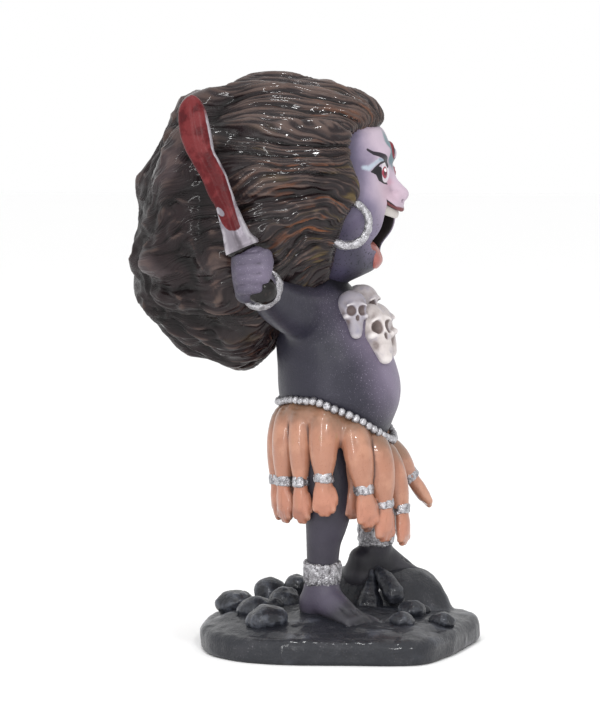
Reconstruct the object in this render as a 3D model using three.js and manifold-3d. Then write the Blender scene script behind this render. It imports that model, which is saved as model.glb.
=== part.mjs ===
// A small cast-resin statuette of the goddess Kali: a big head with swept-back hair, a raised sword, a string of
// skulls, a skirt of severed arms under a beaded belt, and bare feet on a rocky plinth.
// Millimetres, +Z up. She faces -Y, so her right hand, with the sword, is at -X. The origin is the middle of the
// plinth's underside.
import * as THREE from "three";
import { mergeVertices } from "three/addons/utils/BufferGeometryUtils.js";
import Module from "manifold-3d";

const wasm = await Module();
wasm.setup();

// Driving sizes of the whole piece
const HEIGHT = 128.5; // underside of the plinth to the crown of the hair
const PLINTH_LENGTH = 61.8; // front to back
const PLINTH_WIDTH = 56; // side to side
const PLINTH_RIM = 5.5; // height of the plinth's edge
const PLINTH_ROUNDING = 2.2; // of the edge above and below

// The figure keeps its pose as shares of its own height, in units of a figure whose crown is 123 over the rim.
const FIGURE_UNITS = 123;
const U = (HEIGHT - PLINTH_RIM) / FIGURE_UNITS;

const vec = (x, y, z) => new THREE.Vector3(x, y, z);
const mirrored = ([x, y, z]) => [-x, y, z];
const mix = THREE.MathUtils.lerp;
const smooth = THREE.MathUtils.smoothstep;
const degrees = THREE.MathUtils.degToRad;

// A place in the figure's units, z counted from the plinth's rim, as a point of the piece.
const at = ([x, y, z]) => vec(x * U, y * U, PLINTH_RIM + z * U);

// Closed meshes and solids

// A closed geometry as a manifold-3d solid that faces outwards.
function solid(geometry) {
  geometry.deleteAttribute("normal");
  geometry.deleteAttribute("uv");
  const merged = mergeVertices(geometry, 1e-4);
  const faces = new Uint32Array(merged.index.array);
  const build = () =>
    new wasm.Manifold(
      new wasm.Mesh({ numProp: 3, vertProperties: merged.attributes.position.array, triVerts: faces }),
    );
  const made = build();
  if (made.volume() > 0) return made;
  for (let i = 0; i < faces.length; i += 3) [faces[i], faces[i + 1]] = [faces[i + 1], faces[i]];
  return build();
}

const join = (solids) => solids.reduce((sum, next) => sum.add(next));
const cut = (body, tools) => tools.reduce((rest, tool) => rest.subtract(tool), body);

// The faces between neighbouring rings that have as many points each; each id counts on from the one before it.
function ringFaces(index, first, sides, ring, next) {
  for (let side = 0; side < sides; side++) {
    const beside = (side + 1) % sides;
    const [a, b] = [first + ring * sides + side, first + ring * sides + beside];
    const [c, d] = [first + next * sides + side, first + next * sides + beside];
    index.push(a, b, d, a, d, c);
  }
}

// A closed skin over rings, with a point at either end.
function skin(start, rings, end) {
  const sides = rings[0].length;
  const last = rings.length - 1;
  const points = [start, ...rings.flat(), end];
  const index = [];
  for (let ring = 0; ring < last; ring++) ringFaces(index, 1, sides, ring, ring + 1);
  for (let side = 0; side < sides; side++) {
    const beside = (side + 1) % sides;
    index.push(0, 1 + beside, 1 + side);
    index.push(points.length - 1, 1 + last * sides + side, 1 + last * sides + beside);
  }
  return solid(new THREE.BufferGeometry().setFromPoints(points).setIndex(index));
}

// A closed skin over rings that run round to the first one again.
function loop(rings) {
  const index = [];
  rings.forEach((ring, i) => ringFaces(index, 0, ring.length, i, (i + 1) % rings.length));
  return solid(new THREE.BufferGeometry().setFromPoints(rings.flat()).setIndex(index));
}

// A skin that ends in fingers: each is a wedge from a part of the last ring's front and back to its own tip.
function gloveSkin(start, rings, tips) {
  const sides = rings[0].length;
  const points = [start, ...rings.flat()];
  const index = [];
  rings.slice(1).forEach((_, ring) => ringFaces(index, 1, sides, ring, ring + 1));
  for (let side = 0; side < sides; side++) index.push(0, 1 + ((side + 1) % sides), 1 + side);
  const knuckle = 1 + (rings.length - 1) * sides;
  tips.forEach((tip, finger) => {
    const [a, b] = [knuckle + finger, knuckle + finger + 1];
    const [c, d] = [knuckle + sides - 2 - finger, knuckle + sides - 1 - finger];
    const halfWidth = points[b].clone().add(points[c]).sub(points[a]).sub(points[d]).multiplyScalar(0.17);
    const [left, right] = [points.length, points.length + 1];
    points.push(tip.clone().sub(halfWidth), tip.clone().add(halfWidth));
    index.push(a, b, right, a, right, left, c, d, left, c, left, right, b, c, right, d, a, left);
  });
  return solid(new THREE.BufferGeometry().setFromPoints(points).setIndex(index));
}

// The ring of points round a station of a limb, with the limb's direction there.
function stationRing(curve, stations, i, { sides, across, angle }) {
  const [, wideRadius, deepRadius = wideRadius] = stations[i];
  const along = curve.getTangent(i / (stations.length - 1));
  const wide = across.clone().addScaledVector(along, -across.dot(along)).normalize();
  const deep = along.clone().cross(wide);
  const centre = curve.getPoint(i / (stations.length - 1));
  const points = Array.from({ length: sides }, (_, k) => {
    const turn = angle ? angle(k) : (2 * Math.PI * (k + 0.5)) / sides;
    return centre
      .clone()
      .addScaledVector(wide, Math.cos(turn) * wideRadius * U)
      .addScaledVector(deep, Math.sin(turn) * deepRadius * U);
  });
  return { points, centre, along, reach: Math.min(wideRadius, deepRadius) * U };
}

// A limb along a smooth curve. A station is [place, radius] or [place, radius across, radius through]; across names
// the direction in which the first radius is measured. An end is rounded, or else a blunt point. With tips it ends in
// a finger for each of them.
function limb(stations, { sides = 8, across = vec(1, 0, 0), rounded = [true, true], tips, angle } = {}) {
  const curve = new THREE.CatmullRomCurve3(stations.map(([place]) => at(place)), false, "centripetal");
  const rings = stations.map((_, i) => stationRing(curve, stations, i, { sides, across, angle }));
  const end = ({ points, centre, along, reach }, sign, round) => {
    const point = centre.clone().addScaledVector(along, reach * sign * (round ? 1 : 0.5));
    const middle = centre.clone().addScaledVector(along, reach * sign * 0.6);
    const shrink = (p) => p.clone().sub(centre).multiplyScalar(0.78).add(middle);
    return { point, rings: round ? [points.map(shrink)] : [] };
  };
  const first = end(rings[0], -1, rounded[0]);
  const body = [...first.rings, ...rings.map(({ points }) => points)];
  if (tips) return gloveSkin(first.point, body, tips.map(at));
  const last = end(rings.at(-1), 1, rounded[1]);
  return skin(first.point, [...body, ...last.rings], last.point);
}

// A ball with three radii at a place, turned about X, Y and Z in degrees.
function ball(place, radii, { turned = [0, 0, 0], around = 10, rows = 7, shape = (p) => p } = {}) {
  const geometry = new THREE.SphereGeometry(1, around, rows).rotateX(Math.PI / 2);
  const position = geometry.getAttribute("position");
  for (let i = 0; i < position.count; i++) {
    const p = shape(vec(0, 0, 0).fromBufferAttribute(position, i));
    position.setXYZ(i, p.x, p.y, p.z);
  }
  geometry.scale(radii[0] * U, radii[1] * U, radii[2] * U);
  const [x, y, z] = turned.map(degrees);
  geometry.applyMatrix4(new THREE.Matrix4().makeRotationFromEuler(new THREE.Euler(x, y, z)));
  const centre = at(place);
  return solid(geometry.translate(centre.x, centre.y, centre.z));
}

// The stations of a limb with a band round it: the limb's radius, how far the band stands out and the two places
// between which it runs.
function banded([fromPlace, toPlace], radius, stands) {
  const place = (share) => vec(...fromPlace).lerp(vec(...toPlace), share).toArray();
  const wide = radius + stands;
  return [[place(0), radius], [place(0.15), wide], [place(0.85), wide], [place(1), radius]];
}

// The angles of a ring that has half its points at the front and half at the back, for a limb that ends in fingers.
const flatRing = (sides) => (k) => {
  const half = sides / 2;
  const step = 124 / (half - 1);
  return degrees(k < half ? 28 + step * k : 208 + step * (k - half));
};

// Plinth

// The outline, as shares of the half width and half length, runs round from the back. The front right corner is cut.
const OUTLINE = [
  [0, 1], [-0.55, 0.93], [-0.87, 0.7], [-1, 0.36], [-0.98, -0.13], [-0.9, -0.63], [-0.56, -0.82],
  [-0.11, -0.94], [0.3, -1], [0.68, -0.84], [0.94, -0.45], [1, 0.06], [0.87, 0.55], [0.49, 0.89],
];
const outline = new THREE.CatmullRomCurve3(
  OUTLINE.map(([x, y]) => vec((x * PLINTH_WIDTH) / 2, (y * PLINTH_LENGTH) / 2, 0)),
  true,
);

// How far the ground rises over the rim at a place of the figure, in the figure's units.
const DOME = { x: -3, y: 3, halfWidth: 17, halfLength: 24, height: 3.4 };
const ground = (x, y) =>
  DOME.height * Math.exp(-(((x - DOME.x) / DOME.halfWidth) ** 2) - ((y - DOME.y) / DOME.halfLength) ** 2);

function plinth() {
  const around = 30;
  const edge = outline.getSpacedPoints(around).slice(0, around);
  const top = (share) =>
    edge.map((p) => {
      const fade = 1 - smooth(share, 0.8, 0.97);
      const [x, y] = [p.x * share, p.y * share];
      return vec(x, y, PLINTH_RIM + ground(x / U, y / U) * U * fade);
    });
  const side = (inset, z) => edge.map((p) => vec(p.x, p.y, 0).setLength(p.length() - inset).setZ(z));
  const rings = [
    side(PLINTH_ROUNDING * 0.6, 0),
    side(PLINTH_ROUNDING * 0.1, PLINTH_ROUNDING * 0.5),
    side(0, PLINTH_RIM - PLINTH_ROUNDING),
    side(PLINTH_ROUNDING * 0.35, PLINTH_RIM - PLINTH_ROUNDING * 0.35),
    ...[0.88, 0.66, 0.36].map(top),
  ];
  return skin(vec(0, 0, 0), rings, vec(0, 0, PLINTH_RIM + ground(0, 0) * U));
}

// The mound under her left foot: rings of height, middle in x and y, half width and half length.
const MOUND = [
  [-1, 14.8, -7.4, 11.4, 18.2],
  [2, 15.2, -7.4, 10.8, 16.9],
  [5.8, 15.7, -7.5, 10, 14.5],
  [8.6, 16, -7.6, 8.6, 12],
];

function mound() {
  const rings = MOUND.map(([z, x, y, halfWidth, halfLength]) =>
    Array.from({ length: 12 }, (_, k) => {
      const turn = (2 * Math.PI * k) / 12;
      return at([x + halfWidth * Math.sin(turn), y - halfLength * Math.cos(turn), z]);
    }),
  );
  return skin(at([14.6, -7.4, -1.5]), rings, at([15.4, -6.6, 10]));
}

// Rocks lie on the ground: plan place, three radii, turn about Z and how far the middle stands over the ground.
const ROCKS = [
  { x: 4.4, y: 24.8, radii: [3.8, 4.3, 3.3], turn: 10, lift: 1 },
  { x: -6, y: 18.6, radii: [3.6, 4.2, 3.1], turn: 0, lift: 0.6 },
  { x: -15.5, y: 14.4, radii: [4.2, 4.8, 3.5], turn: 20, lift: 0.6 },
  { x: 13.5, y: 17.6, radii: [4.2, 4.1, 3.8], turn: 0, lift: 2.2 },
  { x: 4, y: 13, radii: [3.8, 4, 3.2], turn: 40, lift: 0.8 },
  { x: 11.5, y: 10.8, radii: [3.6, 3.6, 3.7], turn: 0, lift: 3.1 },
  { x: -1.5, y: -16.3, radii: [2.9, 3.2, 2.5], turn: 25, lift: 0.7 },
  { x: -12, y: -15.2, radii: [2.7, 3, 2.3], turn: 0, lift: 0.4 },
  { x: -6.5, y: -23.6, radii: [2.5, 3, 2.1], turn: 0, lift: 0.4 },
  { x: 21, y: 15.5, radii: [3, 3.6, 2.6], turn: 30, lift: 0.6 },
  { x: 14.5, y: 24.2, radii: [3.2, 2.8, 2.4], turn: 0, lift: 0.4 },
];

// A sphere pushed about a little, so that no rock is round.
const lumpy = (seed) => (p) =>
  p.multiplyScalar(1 + 0.09 * Math.sin(3.1 * p.x + seed) + 0.08 * Math.sin(4.3 * p.y - 2 * p.z + 2 * seed));

function rocks() {
  const loose = ROCKS.map(({ x, y, radii, turn, lift }, i) =>
    ball([x, y, ground(x, y) + lift], radii, { turned: [0, 0, turn], around: 6, rows: 5, shape: lumpy(i) }),
  );
  const peak = limb([[[5, -6.2, 1], 3.4], [[6.2, -6.2, 5.5], 1.9], [[8, -6.4, 9.4], 0.5]], { sides: 6 });
  const slab = limb([[[8.2, -7.8, 10], 0.9], [[6.6, -9.6, 8.2], 1.9], [[4.8, -11.8, 5.2], 2.5]], { sides: 7 });
  return [...loose, peak, slab];
}

// Legs

const RIGHT_ANKLE = [-7.6, 3.2, 11];
const LEFT_ANKLE = [12, -7, 14.6];

// A bare foot from heel to toes, turned out by a plan angle from straight ahead. It slopes down to the toes by drop.
function foot(ankle, heel, turnOut, drop) {
  const ahead = vec(Math.sin(degrees(turnOut)), -Math.cos(degrees(turnOut)), 0);
  const across = vec(-ahead.y, ahead.x, 0);
  const place = (forward, aside, up) =>
    vec(...heel)
      .addScaledVector(ahead, forward)
      .addScaledVector(across, aside)
      .add(vec(0, 0, up - (drop * forward) / 18))
      .toArray();
  const sole = [
    [place(0, 0, 2), 3.1, 2.7],
    [place(5, 0, 2.4), 3.5, 3.2],
    [place(10, 0, 1.3), 4, 2.2],
    [place(13.4, 0, 0.8), 4.3, 1.3],
  ];
  const bigFirst = turnOut < 0;
  const toes = [3.7, 1.9, 0.2, -1.5, -3.2].map((aside, i) => {
    const reach = 17.2 - 0.7 * i;
    return place(reach, bigFirst ? aside : -aside, 0.3);
  });
  const tips = bigFirst ? toes : toes.reverse();
  const instep = limb([[ankle, 3.4], [place(4.5, 0, 4), 3.3], [place(10.5, 0, 1.4), 2.4]], {
    sides: 6,
    across,
    rounded: [false, false],
  });
  return [limb(sole, { across, sides: 12, angle: flatRing(12), rounded: [true, false], tips }), instep];
}

const ANKLETS = [
  [[-7.9, 3.2, 14.5], [-7.6, 3.2, 9]],
  [[11.9, -6.8, 20.4], [12, -7, 15.4]],
];

function legs() {
  const thigh = [[[-7.8, 2.2, 38], 6.2], [[-7.9, 1.8, 29], 5.7]];
  const right = [...thigh, [[-7.9, 2.1, 23.6], 4.9], [[-7.9, 2.9, 18], 3.9]];
  const left = [[[8, -1, 38], 6], [[10.4, -5.6, 31], 5], [[11.6, -6.6, 25], 4]];
  const plain = { sides: 7, rounded: [false, false] };
  return [
    limb([...right, ...banded(ANKLETS[0], 3.6, 1), [[-7.4, 3.6, 5.5], 3.3]], plain),
    limb([...left, ...banded(ANKLETS[1], 3.5, 1), [[12, -7, 12], 3.3]], plain),
    ...foot(RIGHT_ANKLE, [-6.6, 5.6, 3.2], -33, 2.6),
    ...foot(LEFT_ANKLE, [10.3, -3.7, 10.3], 36, 3.4),
  ];
}

// Trunk, from the hips to the neck

// Rings of the trunk: height, middle in y, half width and half depth.
const TRUNK = [
  [39, -1.5, 8, 7.4],
  [45, -0.7, 12, 11],
  [50, 0.3, 13.9, 13.2],
  [58, 0.9, 13.8, 13.2],
  [62, 2, 13.2, 12.4],
  [66, 3.3, 12.6, 11.5],
  [70, 3.6, 12, 9.8],
  [73.5, 3.8, 10.4, 7.8],
  [76.5, 3.6, 7.8, 6.4],
  [80, 3, 5.4, 5.2],
];

function trunk() {
  const sides = 14;
  const rings = TRUNK.map(([z, y, halfWidth, halfDepth]) =>
    Array.from({ length: sides }, (_, k) => {
      const turn = (2 * Math.PI * k) / sides;
      return at([halfWidth * Math.sin(turn), y - halfDepth * Math.cos(turn), z]);
    }),
  );
  return skin(at([0, -1.5, 38]), rings, at([0, 3, 81]));
}

// Belt: where its beads lie, by the angle from the front towards her left. It dips in front, under the belly.
const BELT = { middle: 0.5, halfWidth: 14.3, halfDepth: 13.5, height: 49.5, dip: 8.4, beads: 45, bead: 1.05 };

function beltAt(turn) {
  const front = Math.max(0, Math.cos(turn)) ** 1.4;
  const z = BELT.height - BELT.dip * front;
  const tuck = 1 - 0.12 * front;
  return [BELT.halfWidth * Math.sin(turn), BELT.middle - BELT.halfDepth * Math.cos(turn) * tuck, z];
}

function belt() {
  const bead = (k, size) => {
    const turn = (2 * Math.PI * k) / BELT.beads;
    const [x, y, z] = beltAt(turn);
    return [[1.5 * size, 0], [-0.8, 1.3 * size], [-0.8, -1.3 * size]].map(([out, up]) =>
      at([x + Math.sin(turn) * out * BELT.bead, y - Math.cos(turn) * out * BELT.bead, z + up * BELT.bead]),
    );
  };
  return loop(Array.from({ length: BELT.beads }, (_, k) => [bead(k, 1), bead(k + 0.5, 0.5)]).flat());
}

// Skirt of severed arms

// One severed arm hangs from the belt: where it starts and ends round the body, in degrees from the front towards
// her left, how far it stands out and how soon it does, its length, its thickness, and whether it hangs inside.
function severedArm({ from, to = from, out = 1.5, curl = 3, length = 25, thick = 1, inner = false }) {
  const [x, y, z] = beltAt(degrees(from));
  const reach = Math.hypot(x, y - BELT.middle) - (inner ? 4 : 1.4);
  const round = (angle, radius) => {
    const turn = degrees(angle);
    return [radius * Math.sin(turn), BELT.middle - radius * Math.cos(turn)];
  };
  const push = (share) => out * (1 - (1 - share) ** curl);
  const facing = vec(...round(to + 90, 1), 0).sub(vec(0, BELT.middle, 0)).normalize();
  const place = (share, aside = 0, away = 0) =>
    vec(...round(mix(from, to, share), reach + push(share) + away), z - 0.6 - length * share)
      .addScaledVector(facing, aside * thick)
      .toArray();
  const top = [place(0.03), 2.7 * thick];
  const palm = [place(0.8), 2.5 * thick, 1.7 * thick];
  if (inner) return limb([top, [place(0.66), 1.9 * thick], palm], { sides: 5, across: facing });
  return limb(
    [
      top,
      [place(0.58), 2.3 * thick],
      [place(0.665), 2.7 * thick],
      [place(0.74), 2 * thick],
      palm,
      [place(0.88), 2.4 * thick, 1.4 * thick],
    ],
    {
      sides: 8,
      across: facing,
      rounded: [false, false],
      angle: flatRing(8),
      tips: [place(0.98, 1.7, -0.6), place(1.02, 0.1, -0.9), place(0.99, -1.6, -0.7)],
    },
  );
}

// Seen from above, her right side has negative angles.
const RIGHT_ARMS = [
  { from: -172, to: -170, length: 25.5 },
  { from: -147, to: -142, length: 25 },
  { from: -122, to: -118, length: 25.2, thick: 0.9 },
  { from: -97, to: -95, length: 22.9, thick: 1.05, out: 2.4 },
  { from: -70, to: -57, length: 23.8, thick: 1.05, out: 2.4 },
  { from: -44, to: -38, length: 24, out: 2.7 },
  { from: -20, to: -16, length: 22.8, out: 5, curl: 2 },
];
const LEFT_ARMS = [
  { from: 6, to: 20, length: 15.4, out: 11.2, curl: 1 },
  { from: 3, to: 4, length: 22.5, out: 1.2, thick: 0.85 },
  { from: 34, to: 42, length: 23.5, out: 2.2 },
  { from: 62, to: 66, length: 24, out: 2 },
  { from: 88, to: 92, length: 25, out: 2.2, thick: 1.05 },
  { from: 114, to: 117, length: 26 },
  { from: 139, to: 141, length: 25.5 },
  { from: 163, to: 166, length: 26 },
];
const INNER_ARMS = [-54, -31].map((from) => ({ from, length: 25.5, thick: 0.85, out: 0.6, inner: true }));

const skirt = () => [...RIGHT_ARMS, ...LEFT_ARMS, ...INNER_ARMS].map(severedArm);

// Raised arms

const BANGLE = [[-26, 13.4, 75.1], [-28.9, 14.5, 76.6]];
const ARM = [
  [[-7, 6.2, 69.8], 6.4],
  [[-14, 8.8, 70.8], 5.7],
  [[-20, 11.4, 72.6], 4.8],
  ...banded(BANGLE, 3.9, 0.9),
  [[-30.6, 15.2, 78], 3.5],
];
const GRIP_BOTTOM = [-32.6, 14.2, 74.2];
const GRIP_TOP = [-32, 18, 85];

// A fist closed on the grip: four fingers one above the other, and a thumb up the front.
const FIST = { low: [-31.6, 15.9, 77], high: [-31.6, 15.4, 83.2], halfWidth: 4.5, halfDepth: 4.3 };
const FINGER_GROOVE = 0.4;

function fist() {
  const place = (share) => vec(...FIST.low).lerp(vec(...FIST.high), share).toArray();
  const fingers = Array.from({ length: 9 }, (_, i) => {
    const slim = i % 2 ? 0 : FINGER_GROOVE;
    return [place(i / 8), FIST.halfWidth - slim, FIST.halfDepth - slim];
  });
  const thumb = [[[-33.2, 12.3, 76.6], 1.5], [[-33.4, 11.8, 80.2], 1.6], [[-33.6, 13, 83.6], 1.4]];
  return [limb(fingers, { sides: 8, across: vec(0, 1, 0), rounded: [true, false] }), limb(thumb, { sides: 6 })];
}

// Sword: stations from the grip to the tip, with half the width of the blade and half its thickness.
const BLADE = [
  [[-32, 18.9, 87], 2.8, 1.9],
  [[-31.3, 21.1, 92.6], 2.2, 1.6],
  [[-30.4, 23.4, 98.2], 2.7, 1.6],
  [[-29.5, 26.1, 103.6], 2.95, 1.7],
  [[-28.7, 27.8, 108.4], 3.4, 1.8],
  [[-28.1, 28.6, 112.6], 3.25, 1.8],
  [[-27.8, 28.7, 115], 2.6, 1.6],
];

function sword() {
  const across = vec(0, 1, -0.3);
  const grip = limb([[GRIP_BOTTOM, 1.7], [GRIP_TOP, 1.7]], { sides: 6, rounded: [false, false] });
  const pommel = ball(GRIP_BOTTOM, [2.4, 2.4, 1.6], { around: 7, rows: 5, turned: [-20, 0, 0] });
  const guard = limb([[GRIP_TOP, 4.1, 3.2], [[-32, 18.4, 86.6], 3.4, 2.5], [[-31.8, 19.3, 88.6], 2.6, 1.7]], {
    sides: 9,
    across,
    rounded: [false, false],
  });
  const blade = limb(BLADE, { sides: 8, across });
  return [grip, pommel, guard, blade];
}

// Her left hand, open, with the palm to the front.
function openHand() {
  const tips = [[28.3, 13.6, 89.2], [31, 13.8, 90.8], [33.6, 13.9, 90.4], [36, 14.2, 88.6]];
  const stations = [[[29.6, 15.2, 77.4], 3, 2.2], [[31, 15.4, 80.6], 4, 1.9], [[31.8, 15.4, 84], 4.1, 1.6]];
  const palm = limb(stations, {
    sides: 10,
    across: vec(-1, 0, 0),
    angle: flatRing(10),
    tips,
  });
  const thumb = limb([[[29, 14.8, 79], 1.4], [[26.8, 13.8, 81.6], 1.25], [[26.4, 13.2, 83.6], 1]], {
    sides: 5,
    rounded: [false, false],
  });
  return [palm, thumb];
}

function arms() {
  const left = ARM.map(([place, radius]) => [mirrored(place), radius]);
  return [
    limb(ARM, { sides: 8, across: vec(0, 0, 1), rounded: [false, true] }),
    limb(left, { sides: 8, across: vec(0, 0, 1), rounded: [false, true] }),
    ...fist(),
    ...sword(),
    ...openHand(),
  ];
}

// Head

// The face is turned a little to her right, about the middle of the head.
const FACE_TURN = 7;
const FACE_MIDDLE = 2;
const faceAcross = vec(Math.cos(degrees(FACE_TURN)), -Math.sin(degrees(FACE_TURN)), 0);
const faced = ([x, y, z]) => {
  const [c, s] = [Math.cos(degrees(FACE_TURN)), Math.sin(degrees(FACE_TURN))];
  return [x * c + (y - FACE_MIDDLE) * s, FACE_MIDDLE - x * s + (y - FACE_MIDDLE) * c, z];
};
const faceBall = (place, radii, around, rows) =>
  ball(faced(place), radii, { around, rows, turned: [0, 0, -FACE_TURN] });
const faceLimb = (stations, options) =>
  limb(stations.map(([place, ...radii]) => [faced(place), ...radii]), { across: faceAcross, ...options });

// Rings of the head: height, front, back and half width.
const HEAD = [
  [110.4, -8.9, 9, 11.4],
  [106.8, -10.9, 11, 13.8],
  [103, -11.4, 12, 15],
  [99.2, -11.6, 12, 15.5],
  [95.8, -11.9, 12, 15.4],
  [92.4, -11.9, 11, 14.6],
  [88.2, -10.9, 10, 13.2],
  [84.2, -9.2, 9, 11.4],
  [80.6, -8.5, 8, 9.2],
  [78, -5.4, 7, 6.8],
];

function skull() {
  const sides = 16;
  const rings = HEAD.map(([z, front, back, halfWidth]) =>
    Array.from({ length: sides }, (_, k) => {
      const turn = (2 * Math.PI * k) / sides;
      const depth = (back - front) / 2;
      return at(faced([halfWidth * Math.sin(turn), front + depth * (1 - Math.cos(turn)), z]));
    }),
  );
  return skin(at([0, 0, 111.4]), rings, at([0, 0.5, 75.2]));
}

function face() {
  const upperLip = faceBall([0, -8.6, 93.8], [7.4, 5.8, 3.1], 10, 6);
  const lips = faceBall([0, -7.2, 89.4], [9.2, 4.9, 6.6], 10, 6);
  const hollow = [[[0, -10.4, 91.4], 7.2, 6.2], [[0, -9.6, 87.6], 6.8, 5.8], [[0, -8.8, 84.6], 5, 4.8]];
  const mouth = faceLimb(hollow, { sides: 11, rounded: [false, false] });
  const bridge = [[[0, -11.2, 100], 1.2], [[0, -12.6, 97.2], 1.7], [[0, -13.6, 95.9], 1.9]];
  const nose = faceLimb(bridge, { sides: 8 });
  const thirdEye = faceBall([0, -11, 105.2], [1.7, 1.3, 2.6], 6, 5);
  const upperTeeth = faceBall([0, -8, 91.2], [6.4, 4.4, 1.2], 10, 4);
  const root = [[[0, -4, 83.6], 3.6, 1.6], [[0, -8.2, 84.4], 3.5, 1.2]];
  const tip = [[[0, -9, 82.2], 3.3, 1.1], [[0, -8.4, 80.2], 2.4, 1]];
  const tongue = faceLimb([...root, ...tip], { sides: 7, rounded: [false, true] });
  return [cut(join([skull(), upperLip, lips]), [mouth]), nose, thirdEye, upperTeeth, tongue];
}

// A hoop lies flat on each cheek, under the ear.
const HOOP = { x: 15.2, y: -3, z: 89.7, radius: 4.8, thick: 0.85 };

function hoop(side) {
  const ring = new THREE.TorusGeometry(HOOP.radius * U, HOOP.thick * U, 4, 13)
    .rotateY(Math.PI / 2)
    .rotateZ(degrees(-12 * side));
  const centre = at([HOOP.x * side, HOOP.y, HOOP.z]);
  return solid(ring.translate(centre.x, centre.y, centre.z));
}

// Hair: rings from the hairline round the face to the back. Each has a middle in y and z, half its height, half its
// width and how far its plane leans back, in degrees.
const HAIR = [
  { y: -3.4, z: 93.8, high: 17.4, wide: 15.2, lean: -17 },
  { y: -3.2, z: 93.9, high: 20.3, wide: 18, lean: -18 },
  { y: -0.4, z: 94.5, high: 22.8, wide: 20.8, lean: -16 },
  { y: 4.4, z: 94.4, high: 25.2, wide: 23.4, lean: -12 },
  { y: 9.8, z: 92.8, high: 28, wide: 25.4, lean: -6 },
  { y: 16.7, z: 91.1, high: 30.8, wide: 26.6, lean: 1 },
  { y: 23.8, z: 88.8, high: 30.9, wide: 26.4, lean: 4 },
  { y: 31.4, z: 87, high: 28.3, wide: 24.2, lean: 6 },
  { y: 38.3, z: 84.5, high: 22.4, wide: 19.6, lean: 5 },
  { y: 43, z: 82.5, high: 15.3, wide: 13.6, lean: 4 },
  { y: 45.6, z: 80.7, high: 8, wide: 7.2, lean: 3 },
];
const HAIR_POLE = [0, 46.9, 80.4];
const LOCKS = { count: 15, depth: 0.032, sway: 0.5, lumps: 0.035 };

// The share by which a lock or a lump lifts the hair, at a turn round the head and a share of the way to the back.
function lockLift(turn, back) {
  const strand = Math.cos(LOCKS.count * turn + LOCKS.sway * Math.sin(9 * back + 2 * turn));
  const lump = Math.sin(17 * back + 1.5 * Math.sin(3 * turn)) * Math.sin(5 * turn + 2);
  return LOCKS.depth * strand * smooth(back, 0, 0.15) + LOCKS.lumps * lump * smooth(back, 0.35, 0.7);
}

// The hairline is set back at the temples and comes forward in front of the ears.
function hairline(turn) {
  const bell = (middle, width) => Math.exp(-(((Math.abs(turn) - middle) / width) ** 2));
  return 5.6 * bell(0.86, 0.28) - 2 * bell(1.42, 0.24);
}

function hair() {
  const sides = 45;
  const rings = HAIR.map(({ y, z, high, wide, lean }, i) => {
    const back = i / (HAIR.length - 1);
    const up = vec(0, Math.sin(degrees(lean)), Math.cos(degrees(lean)));
    return Array.from({ length: sides }, (_, k) => {
      const turn = Math.PI * 2 * (k / sides) - Math.PI;
      const lift = 1 + lockLift(turn, back);
      const point = at([Math.sin(turn) * wide * lift, y, z]);
      point.addScaledVector(up, Math.cos(turn) * high * lift * U);
      point.y += hairline(turn) * U * (1 - smooth(back, 0, 0.25));
      return point;
    });
  });
  return skin(at([0, 4, 93.8]), rings, at(HAIR_POLE));
}

// Necklace of skulls: place, size and the way each one faces, in degrees from the front towards her right.
const SKULLS = [
  { place: [-8.8, -3.6, 69.8], size: 1.12, facing: 62, pitch: 10 },
  { place: [-4.6, -9.1, 65], size: 1.42, facing: 42, pitch: 20 },
  { place: [4.6, -9.1, 65], size: 1.42, facing: -42, pitch: 20 },
  { place: [8.6, -3.6, 70.2], size: 1.12, facing: -62, pitch: 10 },
];

// The crown of a skull as a sphere turned so that a column of points lies on each eye, where it is pressed in.
function pressedEyes(p) {
  p.applyAxisAngle(vec(0, 0, 1), degrees(22.5));
  const fromEye = Math.hypot(Math.abs(p.x) - 0.33, p.y + 0.8, p.z + 0.5);
  return fromEye < 0.2 ? p.multiplyScalar(0.55) : p;
}

// A small human skull that hangs face out: a high crown, a narrow jaw and two sunken eyes.
function boneSkull({ place, size, facing, pitch }) {
  const turn = new THREE.Matrix4()
    .makeRotationZ(degrees(-facing))
    .multiply(new THREE.Matrix4().makeRotationX(degrees(-pitch)));
  const put = (x, y, z) => vec(x, y, z).multiplyScalar(size).applyMatrix4(turn).add(vec(...place)).toArray();
  const radii = [2.9, 2.9, 3.1].map((radius) => radius * size);
  const eyed = { around: 8, rows: 6, turned: [0, 0, -facing], shape: pressedEyes };
  const crown = ball(put(0, 0, 1.4), radii, eyed);
  const jaw = limb([[put(0, -0.9, -0.6), 2.1 * size], [put(0, -1.3, -3.7), 1.3 * size]], {
    sides: 6,
    rounded: [false, false],
  });
  return crown.add(jaw);
}

// The casting

const pieces = [
  plinth(),
  mound(),
  ...rocks(),
  ...legs(),
  trunk(),
  belt(),
  ...skirt(),
  ...arms(),
  ...face(),
  hair(),
  hoop(-1),
  hoop(1),
  ...SKULLS.map(boneSkull),
];

// The outer skin alone, so that no sealed hollow stays between two forms that touch.
const larger = (a, b) => (b.volume() > a.volume() ? b : a);
const filled = (made) => made.decompose().reduce(larger);

// One solid as the geometry of a mesh.
function geometryOf(made) {
  const { numProp, vertProperties, triVerts, numVert } = made.getMesh();
  const position = new Float32Array(numVert * 3);
  for (let i = 0; i < numVert; i++) {
    position.set(vertProperties.subarray(i * numProp, i * numProp + 3), i * 3);
  }
  const geometry = new THREE.BufferGeometry();
  geometry.setAttribute("position", new THREE.BufferAttribute(position, 3));
  geometry.setIndex(new THREE.BufferAttribute(triVerts, 1));
  return geometry;
}

const resin = new THREE.MeshStandardMaterial({ color: 0x4b4a55, roughness: 0.55, metalness: 0 });
const casting = new THREE.Mesh(geometryOf(filled(join(pieces))), resin);
casting.name = "kali_figure";

const kali = new THREE.Group();
kali.add(casting);

export default kali;
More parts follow.
